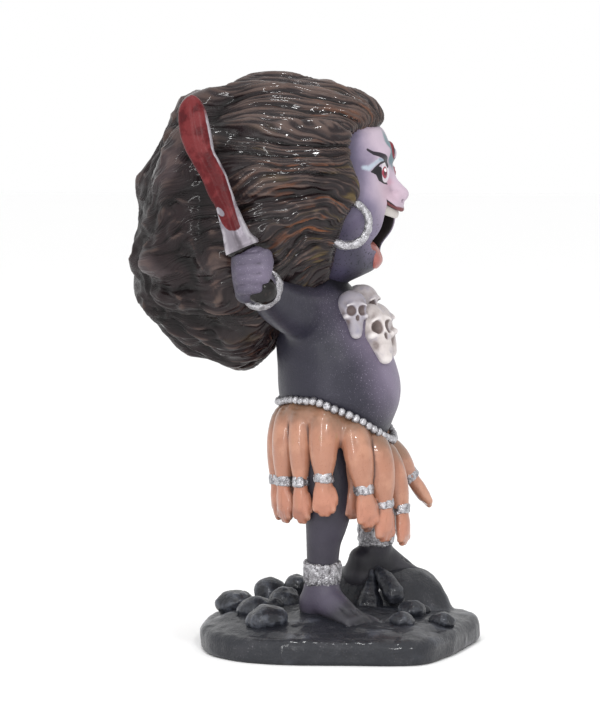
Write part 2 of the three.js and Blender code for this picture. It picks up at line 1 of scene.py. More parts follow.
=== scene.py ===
"""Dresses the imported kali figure, a small hand-painted resin statuette.

Lengths are the figure's own millimetres, and z is counted from the plinth's rim. piece() makes them metres.
She faces -Y, and her right hand, which holds the sword, is at -X.
"""

import math
from typing import Callable, NamedTuple

import bmesh
import bpy
import numpy as np
from mathutils import Euler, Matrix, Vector


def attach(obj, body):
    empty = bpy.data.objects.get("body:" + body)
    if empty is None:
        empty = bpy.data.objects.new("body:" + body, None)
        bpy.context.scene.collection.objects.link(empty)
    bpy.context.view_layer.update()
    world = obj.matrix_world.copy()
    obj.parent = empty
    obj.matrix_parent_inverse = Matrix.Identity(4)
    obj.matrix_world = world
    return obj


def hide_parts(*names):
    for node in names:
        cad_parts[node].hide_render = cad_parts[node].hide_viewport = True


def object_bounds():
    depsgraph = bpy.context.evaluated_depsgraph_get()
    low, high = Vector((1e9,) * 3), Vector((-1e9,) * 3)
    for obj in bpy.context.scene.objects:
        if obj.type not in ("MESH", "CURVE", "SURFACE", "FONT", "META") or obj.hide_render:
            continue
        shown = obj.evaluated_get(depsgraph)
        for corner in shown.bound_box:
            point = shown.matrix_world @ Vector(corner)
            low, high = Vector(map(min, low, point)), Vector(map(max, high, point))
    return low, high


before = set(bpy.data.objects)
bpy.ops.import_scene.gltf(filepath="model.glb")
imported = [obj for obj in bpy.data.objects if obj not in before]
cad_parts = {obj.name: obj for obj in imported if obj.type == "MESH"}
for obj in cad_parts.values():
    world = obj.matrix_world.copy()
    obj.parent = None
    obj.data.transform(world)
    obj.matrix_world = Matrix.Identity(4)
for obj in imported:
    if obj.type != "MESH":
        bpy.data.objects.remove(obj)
cad_low, cad_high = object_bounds()

TALL = 128.33  # from the plinth's underside to the crown of the hair
RIM = 5.5  # height of the plinth's edge
UNIT = (cad_high.z - cad_low.z) / TALL  # metres for one of the figure's millimetres


# Numbers and curves


def smooth(value, start, end):
    """0 before start and 1 after end, with a soft step between."""
    share = np.clip((value - start) / (end - start), 0, 1)
    return share * share * (3 - 2 * share)


def around(value, middle, width):
    """A bell: 1 at the middle, and near 0 two widths away."""
    return np.exp(-(((value - middle) / width) ** 2))


def merge(a, b, blend):
    """The lesser of two distances, rounded where they are closer than blend."""
    if blend <= 0:
        return np.minimum(a, b)
    near = np.maximum(blend - np.abs(a - b), 0) / blend
    return np.minimum(a, b) - near * near * blend / 4


def curve(rows, steps):
    """A smooth curve through rows of numbers, with so many steps from each row to the next."""
    rows = np.array(rows, float)
    padded = np.vstack([2 * rows[0] - rows[1], rows, 2 * rows[-1] - rows[-2]])
    t = (np.arange(steps) / steps)[:, None]
    parts = []
    for p0, p1, p2, p3 in zip(padded, padded[1:], padded[2:], padded[3:]):
        bend = (2 * p0 - 5 * p1 + 4 * p2 - p3) * t**2 + (3 * p1 - p0 - 3 * p2 + p3) * t**3
        parts.append(0.5 * (2 * p1 + (p2 - p0) * t + bend))
    return np.vstack([*parts, rows[-1:]])


def lattice(i, j, k, seed):
    """A number from 0 to 1 for each point of a lattice, the same one every time."""
    mixed = i * 374761393 + j * 668265263 + k * 1274126177 + seed * 974711
    mixed = (mixed ^ (mixed >> 13)) * 1103515245
    mixed = mixed ^ (mixed >> 16)
    return (mixed & 0xFFFF) / 65535.0


def noise(points, size, seed):
    """Smooth noise from -1 to 1, with bumps about size across. Each seed gives another noise."""
    scaled = np.asarray(points, float) / size
    base = np.floor(scaled).astype(np.int64)
    share = scaled - base
    share = share * share * (3 - 2 * share)
    total = 0.0
    for corner in np.ndindex(2, 2, 2):
        weight = 1.0
        for axis in range(3):
            weight = weight * (share[..., axis] if corner[axis] else 1 - share[..., axis])
        total = total + weight * lattice(*(base[..., axis] + corner[axis] for axis in range(3)), seed)
    return 2 * total - 1


def unit(vector):
    """The vector with a length of 1."""
    return np.array(vector, float) / np.linalg.norm(vector)


def mirrored(place):
    """The same place on her other side."""
    return [-place[0], *place[1:]]


def circle(count):
    """So many even angles once round."""
    return np.linspace(0, 2 * math.pi, count, endpoint=False)


def boxy(wave, power):
    """A wave from -1 to 1 that stays longer near its ends."""
    return np.sign(wave) * np.abs(wave) ** power


def spun(points, angle):
    """The points turned about the Z axis by an angle in radians."""
    c, s = math.cos(angle), math.sin(angle)
    x, y, z = points.T
    return np.stack([x * c - y * s, x * s + y * c, z], axis=1)


# Clay: forms as distances on a grid, joined softly and then skinned


class Form(NamedTuple):
    """How far a point is outside a form, with the form's lowest and highest corners."""

    distance: Callable
    low: np.ndarray
    high: np.ndarray


def ball(place, radii, turned=(0, 0, 0)):
    """An egg with three radii, turned about X, Y and Z in degrees."""
    place = np.array(place, float)
    turn = np.array(Euler([math.radians(a) for a in turned]).to_matrix())

    def distance(x, y, z):
        away = (x - place[0], y - place[1], z - place[2])
        own = [sum(turn[i][axis] * away[i] for i in range(3)) / radii[axis] for axis in range(3)]
        share = np.sqrt(sum(v * v for v in own)) + 1e-6
        slope = np.sqrt(sum((v / r) ** 2 for v, r in zip(own, radii))) + 1e-6
        return share * (share - 1) / slope

    reach = np.sqrt(((turn * np.array(radii)) ** 2).sum(axis=1))
    return Form(distance, place - reach, place + reach)


def stick(x, y, z, start, end, across):
    """The distance from a straight stick between two rows of x, y, z, radius across and radius through."""
    along = end[:3] - start[:3]
    length = along @ along + 1e-9
    px, py, pz = x - start[0], y - start[1], z - start[2]
    t = np.clip((px * along[0] + py * along[1] + pz * along[2]) / length, 0, 1)
    qx, qy, qz = px - t * along[0], py - t * along[1], pz - t * along[2]
    wide = start[3] + t * (end[3] - start[3])
    if across is None:
        return np.sqrt(qx * qx + qy * qy + qz * qz) - wide
    deep = start[4] + t * (end[4] - start[4])
    side = unit(across - along * (across @ along) / length)
    beside = qx * side[0] + qy * side[1] + qz * side[2]
    rest = np.maximum(qx * qx + qy * qy + qz * qz - beside * beside, 0)
    return np.sqrt(rest + (beside * deep / wide) ** 2) - deep


def limb(stations, across=None, steps=4):
    """A limb through rows of x, y, z and radius, or of two radii when across says how the first one lies."""
    rows = curve([[*s, s[3]] if len(s) == 4 else s for s in stations], steps)
    across = None if across is None else unit(across)

    def distance(x, y, z):
        nearest = None
        for start, end in zip(rows, rows[1:]):
            away = stick(x, y, z, start, end, across)
            nearest = away if nearest is None else np.minimum(nearest, away)
        return nearest

    reach = rows[:, 3:].max(axis=1, keepdims=True)
    return Form(distance, (rows[:, :3] - reach).min(axis=0), (rows[:, :3] + reach).max(axis=0))


def stack(levels):
    """A form of level ovals: rows of height, middle in y, half width and half depth, from the lowest up."""
    rows = curve(levels, 6)

    def distance(x, y, z):
        middle, wide, deep = (np.interp(z, rows[:, 0], rows[:, i]) for i in (1, 2, 3))
        reach = np.sqrt(x**2 + (y - middle) ** 2) + 1e-6
        share = np.sqrt((x / wide) ** 2 + ((y - middle) / deep) ** 2) + 1e-6
        return np.maximum(reach * (1 - 1 / share), np.maximum(z - rows[-1, 0], rows[0, 0] - z))

    wide, low, high = rows[:, 2].max(), (rows[:, 1] - rows[:, 3]).min(), (rows[:, 1] + rows[:, 3]).max()
    return Form(distance, np.array([-wide, low, rows[0, 0]]), np.array([wide, high, rows[-1, 0]]))


FAR = 9.0  # what clay says where no form is near
CORNERS = np.array(list(np.ndindex(2, 2, 2)))
CELL_EDGES = [(a, b) for a in range(8) for b in range(a + 1, 8) if abs(CORNERS[a] - CORNERS[b]).sum() == 1]


class Clay:
    """A block of grid points, each of which knows how far outside the form it is."""

    def __init__(self, low, high, cell):
        self.cell = cell
        self.low = np.array(low, float)
        self.counts = np.ceil((np.array(high) - self.low) / cell).astype(int) + 1
        self.field = np.full(self.counts, FAR, np.float32)

    def near(self, form, blend):
        """The part of the grid round a form, and its points."""
        pad = blend + 2.5 * self.cell
        first = np.clip(np.floor((form.low - pad - self.low) / self.cell).astype(int), 0, self.counts)
        last = np.clip(np.ceil((form.high + pad - self.low) / self.cell).astype(int) + 1, 0, self.counts)
        part = tuple(slice(a, b) for a, b in zip(first, last))
        axes = [np.arange(a, b) * self.cell + low for a, b, low in zip(first, last, self.low)]
        return part, [v.astype(np.float32) for v in np.ix_(*axes)]

    def add(self, form, blend=0.0):
        """Joins a form to the clay, rounded where they meet by blend."""
        part, points = self.near(form, blend)
        self.field[part] = merge(self.field[part], form.distance(*points), blend)

    def cut(self, form, blend):
        """Takes a form out of the clay, with the edge rounded by blend."""
        part, points = self.near(form, blend)
        self.field[part] = -merge(-self.field[part], form.distance(*points), blend)

    def cut_behind(self, limit):
        """Cuts the clay off flat where y is over a limit."""
        line = np.arange(self.counts[1]) * self.cell + self.low[1]
        self.field = np.maximum(self.field, line[None, :, None] - limit).astype(np.float32)

    def skin(self, rounds):
        """The surface, as points that are relaxed for some rounds and four-sided faces."""
        solid = self.field < 0
        ends = self.counts - 1
        at = [solid[i : ends[0] + i, j : ends[1] + j, k : ends[2] + k] for i, j, k in CORNERS]
        count = sum(part.astype(np.uint8) for part in at)
        active = (count > 0) & (count < 8)
        cells = np.argwhere(active)
        number = np.zeros(active.shape, np.int64)
        number[active] = np.arange(len(cells))
        values = [self.field[tuple((cells + corner).T)].astype(float) for corner in CORNERS]
        total = np.zeros((len(cells), 3))
        hits = np.zeros(len(cells))
        for a, b in CELL_EDGES:
            crossed = (values[a] < 0) != (values[b] < 0)
            share = values[a] / np.where(crossed, values[a] - values[b], 1)
            total += crossed[:, None] * (CORNERS[a] + share[:, None] * (CORNERS[b] - CORNERS[a]))
            hits += crossed
        points = (cells + total / hits[:, None]) * self.cell + self.low
        faces = np.vstack([self.faces_across(solid, number, axis) for axis in range(3)])
        return relaxed(points, faces, rounds), faces

    @staticmethod
    def faces_across(solid, number, axis):
        """The faces that lie across the grid lines along one axis."""
        u, v = (axis + 1) % 3, (axis + 2) % 3
        inner = [slice(1, -1)] * 3
        first = tuple(slice(None, -1) if i == axis else s for i, s in enumerate(inner))
        second = tuple(slice(1, None) if i == axis else s for i, s in enumerate(inner))
        lines = np.argwhere(solid[first] != solid[second])
        leaves = solid[first][tuple(lines.T)]
        lines[:, [u, v]] += 1
        step = np.eye(3, dtype=int)
        around_line = [lines - step[u] - step[v], lines - step[v], lines, lines - step[u]]
        faces = np.stack([number[tuple(c.T)] for c in around_line], axis=1)
        return np.where(leaves[:, None], faces, faces[:, ::-1])


# Meshes


def ring_faces(rows, columns, closed_rows=False):
    """Faces of a sheet of rows whose columns run round; with closed_rows the last row joins the first."""
    i = np.arange(rows if closed_rows else rows - 1)[:, None]
    j = np.arange(columns)[None, :]
    below, above = (i % rows) * columns, ((i + 1) % rows) * columns
    beside = (j + 1) % columns
    return np.stack([below + j, below + beside, above + beside, above + j], axis=-1).reshape(-1, 4)


def facing(corners):
    """The directions that four-sided faces look in, longer for larger faces."""
    return np.cross(corners[:, 2] - corners[:, 0], corners[:, 3] - corners[:, 1])


def outward(points, faces):
    """A closed skin with its faces turned outwards."""
    corners = points[faces] - points.mean(axis=0)
    inside_out = (facing(corners) * corners.mean(axis=1)).sum() < 0
    return points, faces[:, [1, 0, 3, 2]] if inside_out else faces


def capped(rows):
    """A closed skin over rows of points that run round, with each end drawn in to its middle."""
    count, columns = rows.shape[:2]
    ends = rows[[0, -1]].mean(axis=1)
    points = np.vstack([rows.reshape(-1, 3), ends])
    j = np.arange(columns)
    beside = (j + 1) % columns
    last, first_end = (count - 1) * columns, count * columns
    start = np.stack([beside, j] + [np.full(columns, first_end)] * 2, axis=1)
    stop = np.stack([last + j, last + beside] + [np.full(columns, first_end + 1)] * 2, axis=1)
    return outward(points, np.vstack([ring_faces(count, columns), start, stop]))


def joined(parts):
    """Several skins as one."""
    offsets = np.cumsum([0] + [len(points) for points, _ in parts])
    faces = [own + offset for (_, own), offset in zip(parts, offsets)]
    return np.vstack([points for points, _ in parts]), np.vstack(faces)


def sphere(subdivisions):
    """A ball of radius 1, with three-sided faces whose last corner is written twice."""
    mesh = bmesh.new()
    bmesh.ops.create_icosphere(mesh, subdivisions=subdivisions, radius=1.0)
    points = np.array([v.co for v in mesh.verts])
    faces = np.array([[*(v.index for v in f.verts), f.verts[2].index] for f in mesh.faces])
    mesh.free()
    return points, faces


def normals(points, faces):
    """The outward direction at each point."""
    cross = facing(points[faces])
    total = np.zeros_like(points)
    for corner in range(4):
        for axis in range(3):
            total[:, axis] += np.bincount(faces[:, corner], cross[:, axis], len(points))
    return total / (np.linalg.norm(total, axis=1, keepdims=True) + 1e-12)


def relaxed(points, faces, rounds, strength=0.5):
    """The points drawn towards the mean of their neighbours, round after round."""
    for _ in range(rounds):
        total = np.zeros_like(points)
        count = np.zeros(len(points))
        for corner in range(4):
            here, there = faces[:, corner], faces[:, (corner + 1) % 4]
            count += np.bincount(here, minlength=len(points)) + np.bincount(there, minlength=len(points))
            for axis in range(3):
                total[:, axis] += np.bincount(here, points[there, axis], len(points))
                total[:, axis] += np.bincount(there, points[here, axis], len(points))
        points = points + strength * (total / count[:, None] - points)
    return points


def ridges(points, faces, rounds):
    """How far each point stands out of the form round it, in mm. Hollows are below zero."""
    return ((points - relaxed(points, faces, rounds, 0.9)) * normals(points, faces)).sum(axis=1)


def placed(name, data):
    """A new object in the scene."""
    made = bpy.data.objects.new(name, data)
    bpy.context.scene.collection.objects.link(made)
    return made


def piece(name, skin, paint, values=None, rounds=12):
    """Makes a mesh of a skin, with its painted values, and lets it stand for the casting."""
    points, faces = skin
    mesh = bpy.data.meshes.new(name)
    scaled = (points + [0, 0, RIM]) * UNIT
    triangle = faces[:, 2] == faces[:, 3]
    loops = np.concatenate([faces[~triangle].ravel(), faces[triangle][:, :3].ravel()])
    sizes = np.concatenate([np.full((~triangle).sum(), 4), np.full(triangle.sum(), 3)])
    mesh.vertices.add(len(points))
    mesh.vertices.foreach_set("co", scaled.astype(np.float32).ravel())
    mesh.loops.add(len(loops))
    mesh.loops.foreach_set("vertex_index", loops.astype(np.int32))
    mesh.polygons.add(len(sizes))
    mesh.polygons.foreach_set("loop_start", np.concatenate([[0], np.cumsum(sizes)[:-1]]).astype(np.int32))
    mesh.polygons.foreach_set("loop_total", sizes.astype(np.int32))
    mesh.polygons.foreach_set("use_smooth", np.ones(len(sizes), bool))
    mesh.update(calc_edges=True)
    values = {"ridge": ridges(points, faces, rounds), **(values or {})}
    for key, numbers in values.items():
        mesh.attributes.new(key, "FLOAT", "POINT").data.foreach_set("value", numbers.astype(np.float32))
    mesh.materials.append(paint.material)
    made = placed(name, mesh)
    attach(made, "root")
    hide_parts("kali_figure")


def roughened(skin, size, height, seed):
    """A skin with noise of a size and height pushed along its normals."""
    points, faces = skin
    return points + (noise(points, size, seed) * height)[:, None] * normals(points, faces), faces


def crumpled(skin, size, depth, seed):
    """A skin with thin creases pressed into it, like crumpled foil."""
    points, faces = skin
    crease = smooth(np.abs(noise(points, size, seed)), 0.3, 0.0)
    return points - (crease * depth)[:, None] * normals(points, faces), faces


def band(start, end, radii, across, section, columns, rows):
    """A ring round the line from start to end.

    The radii lie across and through. The section is the ring's own half height and half thickness.
    """
    start, end, across = (np.array(v, float) for v in (start, end, across))
    along = unit(end - start)
    side = unit(across - along * (along @ across))
    through = np.cross(along, side)
    turn, roll = circle(columns)[None, :, None], circle(rows)[:, None, None]
    high, thick = section
    lift = boxy(np.cos(roll), 0.7) * thick
    rise = boxy(np.sin(roll), 0.7) * high
    out = np.cos(turn) * side * (radii[0] + lift) + np.sin(turn) * through * (radii[1] + lift)
    points = (start + end) / 2 + out - rise * along
    return outward(points.reshape(-1, 3), ring_faces(rows, columns, closed_rows=True))


# Paint: materials whose masks are written as plain arithmetic


def tone(red, green, blue):
    """A colour from its usual numbers of 0 to 255."""
    channels = [c / 255 for c in (red, green, blue)]
    return (*[c / 12.92 if c <= 0.04045 else ((c + 0.055) / 1.055) ** 2.4 for c in channels], 1.0)


class Field:
    """A number that a material works out at each point of a surface."""

    def __init__(self, paint, socket):
        self.paint = paint
        self.socket = socket

    def __add__(self, other):
        return self.paint.math("ADD", self, other)

    def __sub__(self, other):
        return self.paint.math("SUBTRACT", self, other)

    def __rsub__(self, other):
        return self.paint.math("SUBTRACT", other, self)

    def __mul__(self, other):
        return self.paint.math("MULTIPLY", self, other)

    def __truediv__(self, other):
        return self.paint.math("DIVIDE", self, other)

    def step(self, start, end):
        """0 before start and 1 after end, or the other way round when end is the lesser."""
        low, high = min(start, end), max(start, end)
        node = self.paint.node("ShaderNodeMapRange", interpolation_type="SMOOTHSTEP")
        for name, value in (("Value", self), ("From Min", low), ("From Max", high)):
            self.paint.feed(node.inputs[name], value)
        node.inputs["To Min"].default_value = 0.0 if start < end else 1.0
        node.inputs["To Max"].default_value = 1.0 if start < end else 0.0
        return Field(self.paint, node.outputs["Result"])


class Paint:
    """A material: a coat of colour, further coats through masks, then roughness and relief.

    Colours are given by their usual numbers of 0 to 255.
    """

    def __init__(self, name, slot, colour, metallic=0.0, coat=0.0, coat_roughness=0.1, specular=0.3):
        self.slot = slot
        self.material = bpy.data.materials.new(name)
        self.material.use_nodes = True
        self.tree = self.material.node_tree
        self.surface = self.tree.nodes["Principled BSDF"]
        self.colour = tone(*colour)
        settings = {
            "Base Color": self.colour,
            "Metallic": metallic,
            "Coat Weight": coat,
            "Coat Roughness": coat_roughness,
            "Specular IOR Level": specular,
        }
        for key, value in settings.items():
            self.surface.inputs[key].default_value = value
        scale = self.node("ShaderNodeVectorMath", operation="SCALE")
        self.tree.links.new(self.node("ShaderNodeTexCoord").outputs["Object"], scale.inputs[0])
        scale.inputs["Scale"].default_value = 1 / UNIT
        self.place = scale.outputs[0]
        split = self.node("ShaderNodeSeparateXYZ")
        self.tree.links.new(self.place, split.inputs[0])
        self.x, self.y, self.z = (Field(self, socket) for socket in split.outputs)

    def node(self, kind, **settings):
        """A new node of a kind, with its settings."""
        made = self.tree.nodes.new(kind)
        for key, value in settings.items():
            setattr(made, key, value)
        return made

    def feed(self, socket, value):
        """Joins a field or another node's socket to a socket, or sets the socket to a plain value."""
        if isinstance(value, Field):
            self.tree.links.new(value.socket, socket)
        elif isinstance(value, bpy.types.NodeSocket):
            self.tree.links.new(value, socket)
        else:
            socket.default_value = value

    def math(self, operation, *values):
        """A field worked out from fields and numbers."""
        node = self.node("ShaderNodeMath", operation=operation)
        for socket, value in zip(node.inputs, values):
            self.feed(socket, value)
        return Field(self, node.outputs[0])

    def value(self, name):
        """A painted value of the mesh."""
        return Field(self, self.node("ShaderNodeAttribute", attribute_name=name).outputs["Fac"])

    def noise(self, size, detail=2.0, stretch=(1, 1, 1), along=None):
        """Noise about 0, with bumps about size across. along takes other coordinates than the place."""
        scaled = self.node("ShaderNodeVectorMath", operation="MULTIPLY")
        self.feed(scaled.inputs[0], along or self.place)
        scaled.inputs[1].default_value = stretch
        texture = self.node("ShaderNodeTexNoise")
        self.tree.links.new(scaled.outputs[0], texture.inputs["Vector"])
        texture.inputs["Scale"].default_value = 1 / size
        texture.inputs["Detail"].default_value = detail
        return Field(self, texture.outputs["Fac"]) - 0.5

    def vector(self, x, y, z):
        """Coordinates made of three fields."""
        node = self.node("ShaderNodeCombineXYZ")
        for socket, value in zip(node.inputs, (x, y, z)):
            self.feed(socket, value)
        return node.outputs[0]

    def over(self, mask, colour):
        """Puts a colour over what is there, where the mask is."""
        node = self.node("ShaderNodeMix", data_type="RGBA")
        self.feed(node.inputs[0], mask)
        self.feed(node.inputs[6], self.colour)
        self.feed(node.inputs[7], tone(*colour))
        self.colour = node.outputs[2]

    def finish(self, relief, roughness):
        """Joins the coats to the surface. Relief is in mm."""
        bump = self.node("ShaderNodeBump")
        bump.inputs["Distance"].default_value = UNIT
        self.feed(bump.inputs["Height"], relief)
        ends = {"Base Color": self.colour, "Roughness": roughness, "Normal": bump.outputs[0]}
        for key, value in ends.items():
            self.feed(self.surface.inputs[key], value)
        return self


def speckled(paint, mask, colour, size, rare=0.16):
    """Fine specks of airbrushed paint, thickest where the mask is."""
    specks = paint.noise(size, detail=1.5).step(rare, rare + 0.05)
    paint.over(specks * mask, colour)


# Skin


def skin_paint():
    """Slate blue-grey, lavender airbrushed where glow_at says, fine specks, painted shade in the hollows and
    a painted shadow on the neck.
    """
    paint = Paint("skin", "painted_resin", (38, 37, 48))
    cloud = paint.noise(6.0, detail=4.0)
    glow = paint.value("glow") + cloud * 0.25
    paint.over(cloud.step(-0.1, 0.25) * 0.5, (52, 50, 62))
    paint.over(glow.step(0.1, 0.9) * 0.85, (98, 90, 108))
    paint.over(glow.step(0.75, 1.3) * 0.8, (124, 114, 134))
    speckled(paint, glow.step(-0.1, 0.5) * 0.6, (148, 140, 158), size=0.26, rare=0.15)
    speckled(paint, glow.step(0.5, -0.1) * 0.45, (22, 21, 26), size=0.5)
    speckled(paint, 0.13, (146, 140, 158), size=0.15, rare=0.2)
    # Painted shade: darker in the hollows and creases.
    paint.over(paint.value("ridge").step(-0.02, -0.28) * 0.75, (22, 21, 26))
    # Painted shadow: the neck under the jaw is painted near black.
    neck = paint.math("ABSOLUTE", paint.x).step(9.0, 6.0) * paint.z.step(77.5, 80.5)
    paint.over(neck * 0.85, (16, 15, 19))
    grain = paint.noise(0.4, detail=3.0)
    return paint.finish(relief=grain * 0.05 + cloud * 0.2, roughness=grain * 0.25 + 0.44)


def oval(paint, u, v, middle, radii, turned=0.0):
    """How far outside an oval a painted place is, in its own units. It is below 0 inside."""
    c, s = math.cos(math.radians(turned)), math.sin(math.radians(turned))
    du, dv = u - middle[0], v - middle[1]
    along = (du * c + dv * s) / radii[0]
    beside = (dv * c - du * s) / radii[1]
    reach = paint.math("SQRT", along * along + beside * beside)
    return (reach - 1.0) * min(radii)


def stroke(paint, u, v, rows):
    """How far outside a brush stroke a painted place is: rows of u, v and half width."""
    nearest = None
    for (u0, v0, w0), (u1, v1, w1) in zip(rows, rows[1:]):
        du, dv = u1 - u0, v1 - v0
        share = ((u - u0) * du + (v - v0) * dv) / (du * du + dv * dv)
        share = paint.math("MINIMUM", paint.math("MAXIMUM", share, 0.0), 1.0)
        pu, pv = u - u0 - share * du, v - v0 - share * dv
        away = paint.math("SQRT", pu * pu + pv * pv) - (share * (w1 - w0) + w0)
        nearest = away if nearest is None else paint.math("MINIMUM", nearest, away)
    return nearest


def dab(paint, away, colour, edge=0.06):
    """Fills a mark with a colour, up to a soft edge."""
    paint.over(away.step(edge, -edge), colour)


# The painted marks lie by distance round the face from its middle and by height, both in mm.
EYE = {"middle": (4.3, 100.75), "radii": (2.5, 2.3)}
IRIS = {"middle": (4.85, 100.65), "radii": (2.0, 1.35)}
PUPIL = {"middle": (5.45, 100.55), "radii": (0.7, 0.66)}
GLINT = {"middle": (5.3, 101.2), "radii": (0.7, 0.4)}
LASH = [
    (9.7, 100.85, 0.18), (8.6, 101.0, 0.7), (7.5, 100.9, 1.15), (6.9, 99.6, 0.9), (5.4, 98.65, 0.45),
    (3.2, 98.1, 0.15),
]
UPPER_LID = [(8.6, 101.6, 0.25), (6.7, 102.75, 0.28), (4.6, 103.1, 0.22), (2.6, 102.3, 0.14)]
BROW = [
    (10.5, 105.65, 0.28), (9.3, 104.9, 0.42), (7.7, 104.6, 0.52), (5.9, 104.1, 0.58), (3.9, 103.2, 0.6),
    (2.5, 102.1, 0.5),
]
EYE_SHADOW = [
    (11.8, 101.8, 0.3), (10.4, 101.6, 0.45), (9.2, 102.4, 0.45), (7.8, 103.3, 0.4), (6.3, 103.4, 0.25),
]
EYE_FOLD = [(7.6, 103.6, 0.2), (5.5, 103.2, 0.28), (3.0, 101.9, 0.2)]
THIRD_EYE = {"middle": (0, 105.6), "radii": (1.2, 2.0)}
THIRD_IRIS = {"middle": (0, 105.6), "radii": (0.65, 1.0)}
THIRD_RIM = {"middle": (0, 105.7), "radii": (2.3, 4.0)}


def face_paint():
    """Pale lavender, darker at the jaw, with painted shade by the hair, in the hollows and inside the mouth,
    and painted eyes, brows, lips and a third eye.
    """
    paint = Paint("face", "face_paint", (112, 104, 126))
    u, v = paint.value("aside"), paint.value("level")
    cloud = paint.noise(5.0, detail=4.0)
    front = u + cloud * 5.0
    paint.over((front + v.step(97.0, 88.0) * 4.0).step(14.0, 6.0) * v.step(84.0, 94.0), (178, 162, 176))
    paint.over((v + cloud * 4.0 + front.step(13.0, 7.0) * 4.0).step(91.0, 82.0) * 0.95, (46, 45, 57))
    # Painted shade: the sides of the face darken towards the hair.
    paint.over(front.step(10.5, 16.5) * 0.85, (68, 63, 84))
    blush = oval(paint, u, v, (4.2, 96.2), (4.6, 3.4))
    paint.over((blush + cloud * 1.5).step(1.0, -2.5) * 0.6, (178, 152, 164))
    speckled(paint, v.step(94.0, 83.0) * 0.8, (18, 18, 24), size=0.45, rare=0.1)
    speckled(paint, front.step(12.0, 6.0) * 0.25, (176, 162, 176), size=0.3)
    # Painted shade in the hollows.
    paint.over(paint.value("ridge").step(-0.03, -0.35) * 0.6, (48, 42, 58))

    soft = paint.noise(0.5) * 0.25
    paint.over((oval(paint, u, v, **THIRD_RIM) + soft * 3).step(0.9, -0.6) * 0.8, (72, 112, 116))
    paint.over((stroke(paint, u, v, EYE_SHADOW) + soft * 1.5).step(0.45, -0.25) * 0.8, (172, 186, 198))
    paint.over((stroke(paint, u, v, EYE_FOLD) + soft * 1.5).step(0.4, -0.2) * 0.6, (92, 122, 138))
    inner = oval(paint, u, v, (2.3, 98.7), (0.9, 0.8))
    paint.over((inner + soft * 2).step(0.5, -0.5) * 0.4, (186, 124, 142))
    dab(paint, stroke(paint, u, v, LASH), (24, 20, 26))
    dab(paint, oval(paint, u, v, **EYE), (206, 200, 206))
    paint.over((oval(paint, u, v, **IRIS) + soft * 0.3).step(0.08, -0.1), (140, 44, 62))
    dab(paint, oval(paint, u, v, **PUPIL), (70, 20, 34))
    dab(paint, oval(paint, u, v, **GLINT), (232, 230, 232))
    dab(paint, stroke(paint, u, v, UPPER_LID), (26, 22, 30))
    dab(paint, stroke(paint, u, v, BROW) + soft * 0.4, (32, 26, 36), 0.07)
    dab(paint, oval(paint, u, v, **THIRD_EYE), (112, 30, 40), 0.08)
    dab(paint, oval(paint, u, v, **THIRD_IRIS), (44, 12, 20))
    # The inside of the mouth is painted near black, as painted shade.
    paint.over(paint.value("mouth").step(0.2, 0.05), (22, 13, 14))
    paint.over((paint.value("lip") + soft * 0.3).step(0.1, -0.05), (104, 50, 52))
    grain = paint.noise(0.4, detail=3.0)
    return paint.finish(relief=grain * 0.04, roughness=grain * 0.25 + 0.46)


# Head, in the face's own frame: x to her left from the middle of the face

FACE_TURN = math.radians(7)
FACE_MIDDLE = 2.0
HEAD = [
    [75.2, 1.6, 3, 2.6],
    [76.2, 1.6, 4.8, 3.5],
    [77.6, 1.1, 6.8, 5.9],
    [79, 0.1, 8, 7.6],
    [80.6, -0.2, 9.2, 8.2],
    [84.2, -0.1, 11.4, 9.1],
    [88.2, -0.45, 13.2, 10.45],
    [92.4, -0.45, 14.6, 11.45],
    [95.8, 0.05, 15.4, 11.75],
    [99.2, 0.2, 15.5, 11.7],
    [103, 0.3, 15, 11.6],
    [106.8, 0.1, 13.8, 10.9],
    [110.4, 0.1, 11.4, 9.3],
    [111.6, 0.1, 8, 6.4],
]
HEAD_BACK = 6.0  # the head ends inside the hair
FACE_RADIUS = 12.3  # of the round face on which the painted marks lie
MOUTH = {"half_width": 5.0, "corners": 94.3, "dip": 2.3, "bottom": 83.4, "back": -4.5, "shift": -0.55}
UPPER_LIP = [[4.9, -11.6, 94.0, 0.4], [2.6, -13.3, 93.0, 0.5], [0, -13.95, 92.4, 0.52]]
NOSE = [[0, -11, 101.4, 1.0], [0, -11.7, 98.8, 1.25], [0, -12.8, 97.1, 1.5], [0, -13.8, 96.1, 1.5]]


def faced(points):
    """Points of the face's own frame, turned with the face."""
    middle = np.array([0, FACE_MIDDLE, 0])
    return spun(points - middle, -FACE_TURN) + middle


def mouth_hollow():
    """The open mouth: its upper edge dips in the middle, and its lower edge is round."""
    half_width, corners, shift = MOUTH["half_width"], MOUTH["corners"], MOUTH["shift"]

    def distance(x, y, z):
        aside = np.abs(x) / half_width
        top = corners - MOUTH["dip"] * (1 - aside**2)
        bottom = MOUTH["bottom"] + 1.2 * aside**4
        side = np.abs(x - shift) - half_width
        return np.maximum(np.maximum(side, z - top), np.maximum(bottom - z, y - MOUTH["back"]))

    low, high = (shift - half_width, -18, MOUTH["bottom"]), (half_width, MOUTH["back"], corners)
    return Form(distance, np.array(low, float), np.array(high, float))


def lip(half):
    """A lip from corner to corner, from the stations of one half."""
    return limb([mirrored(station) for station in half[:-1]] + half[::-1])


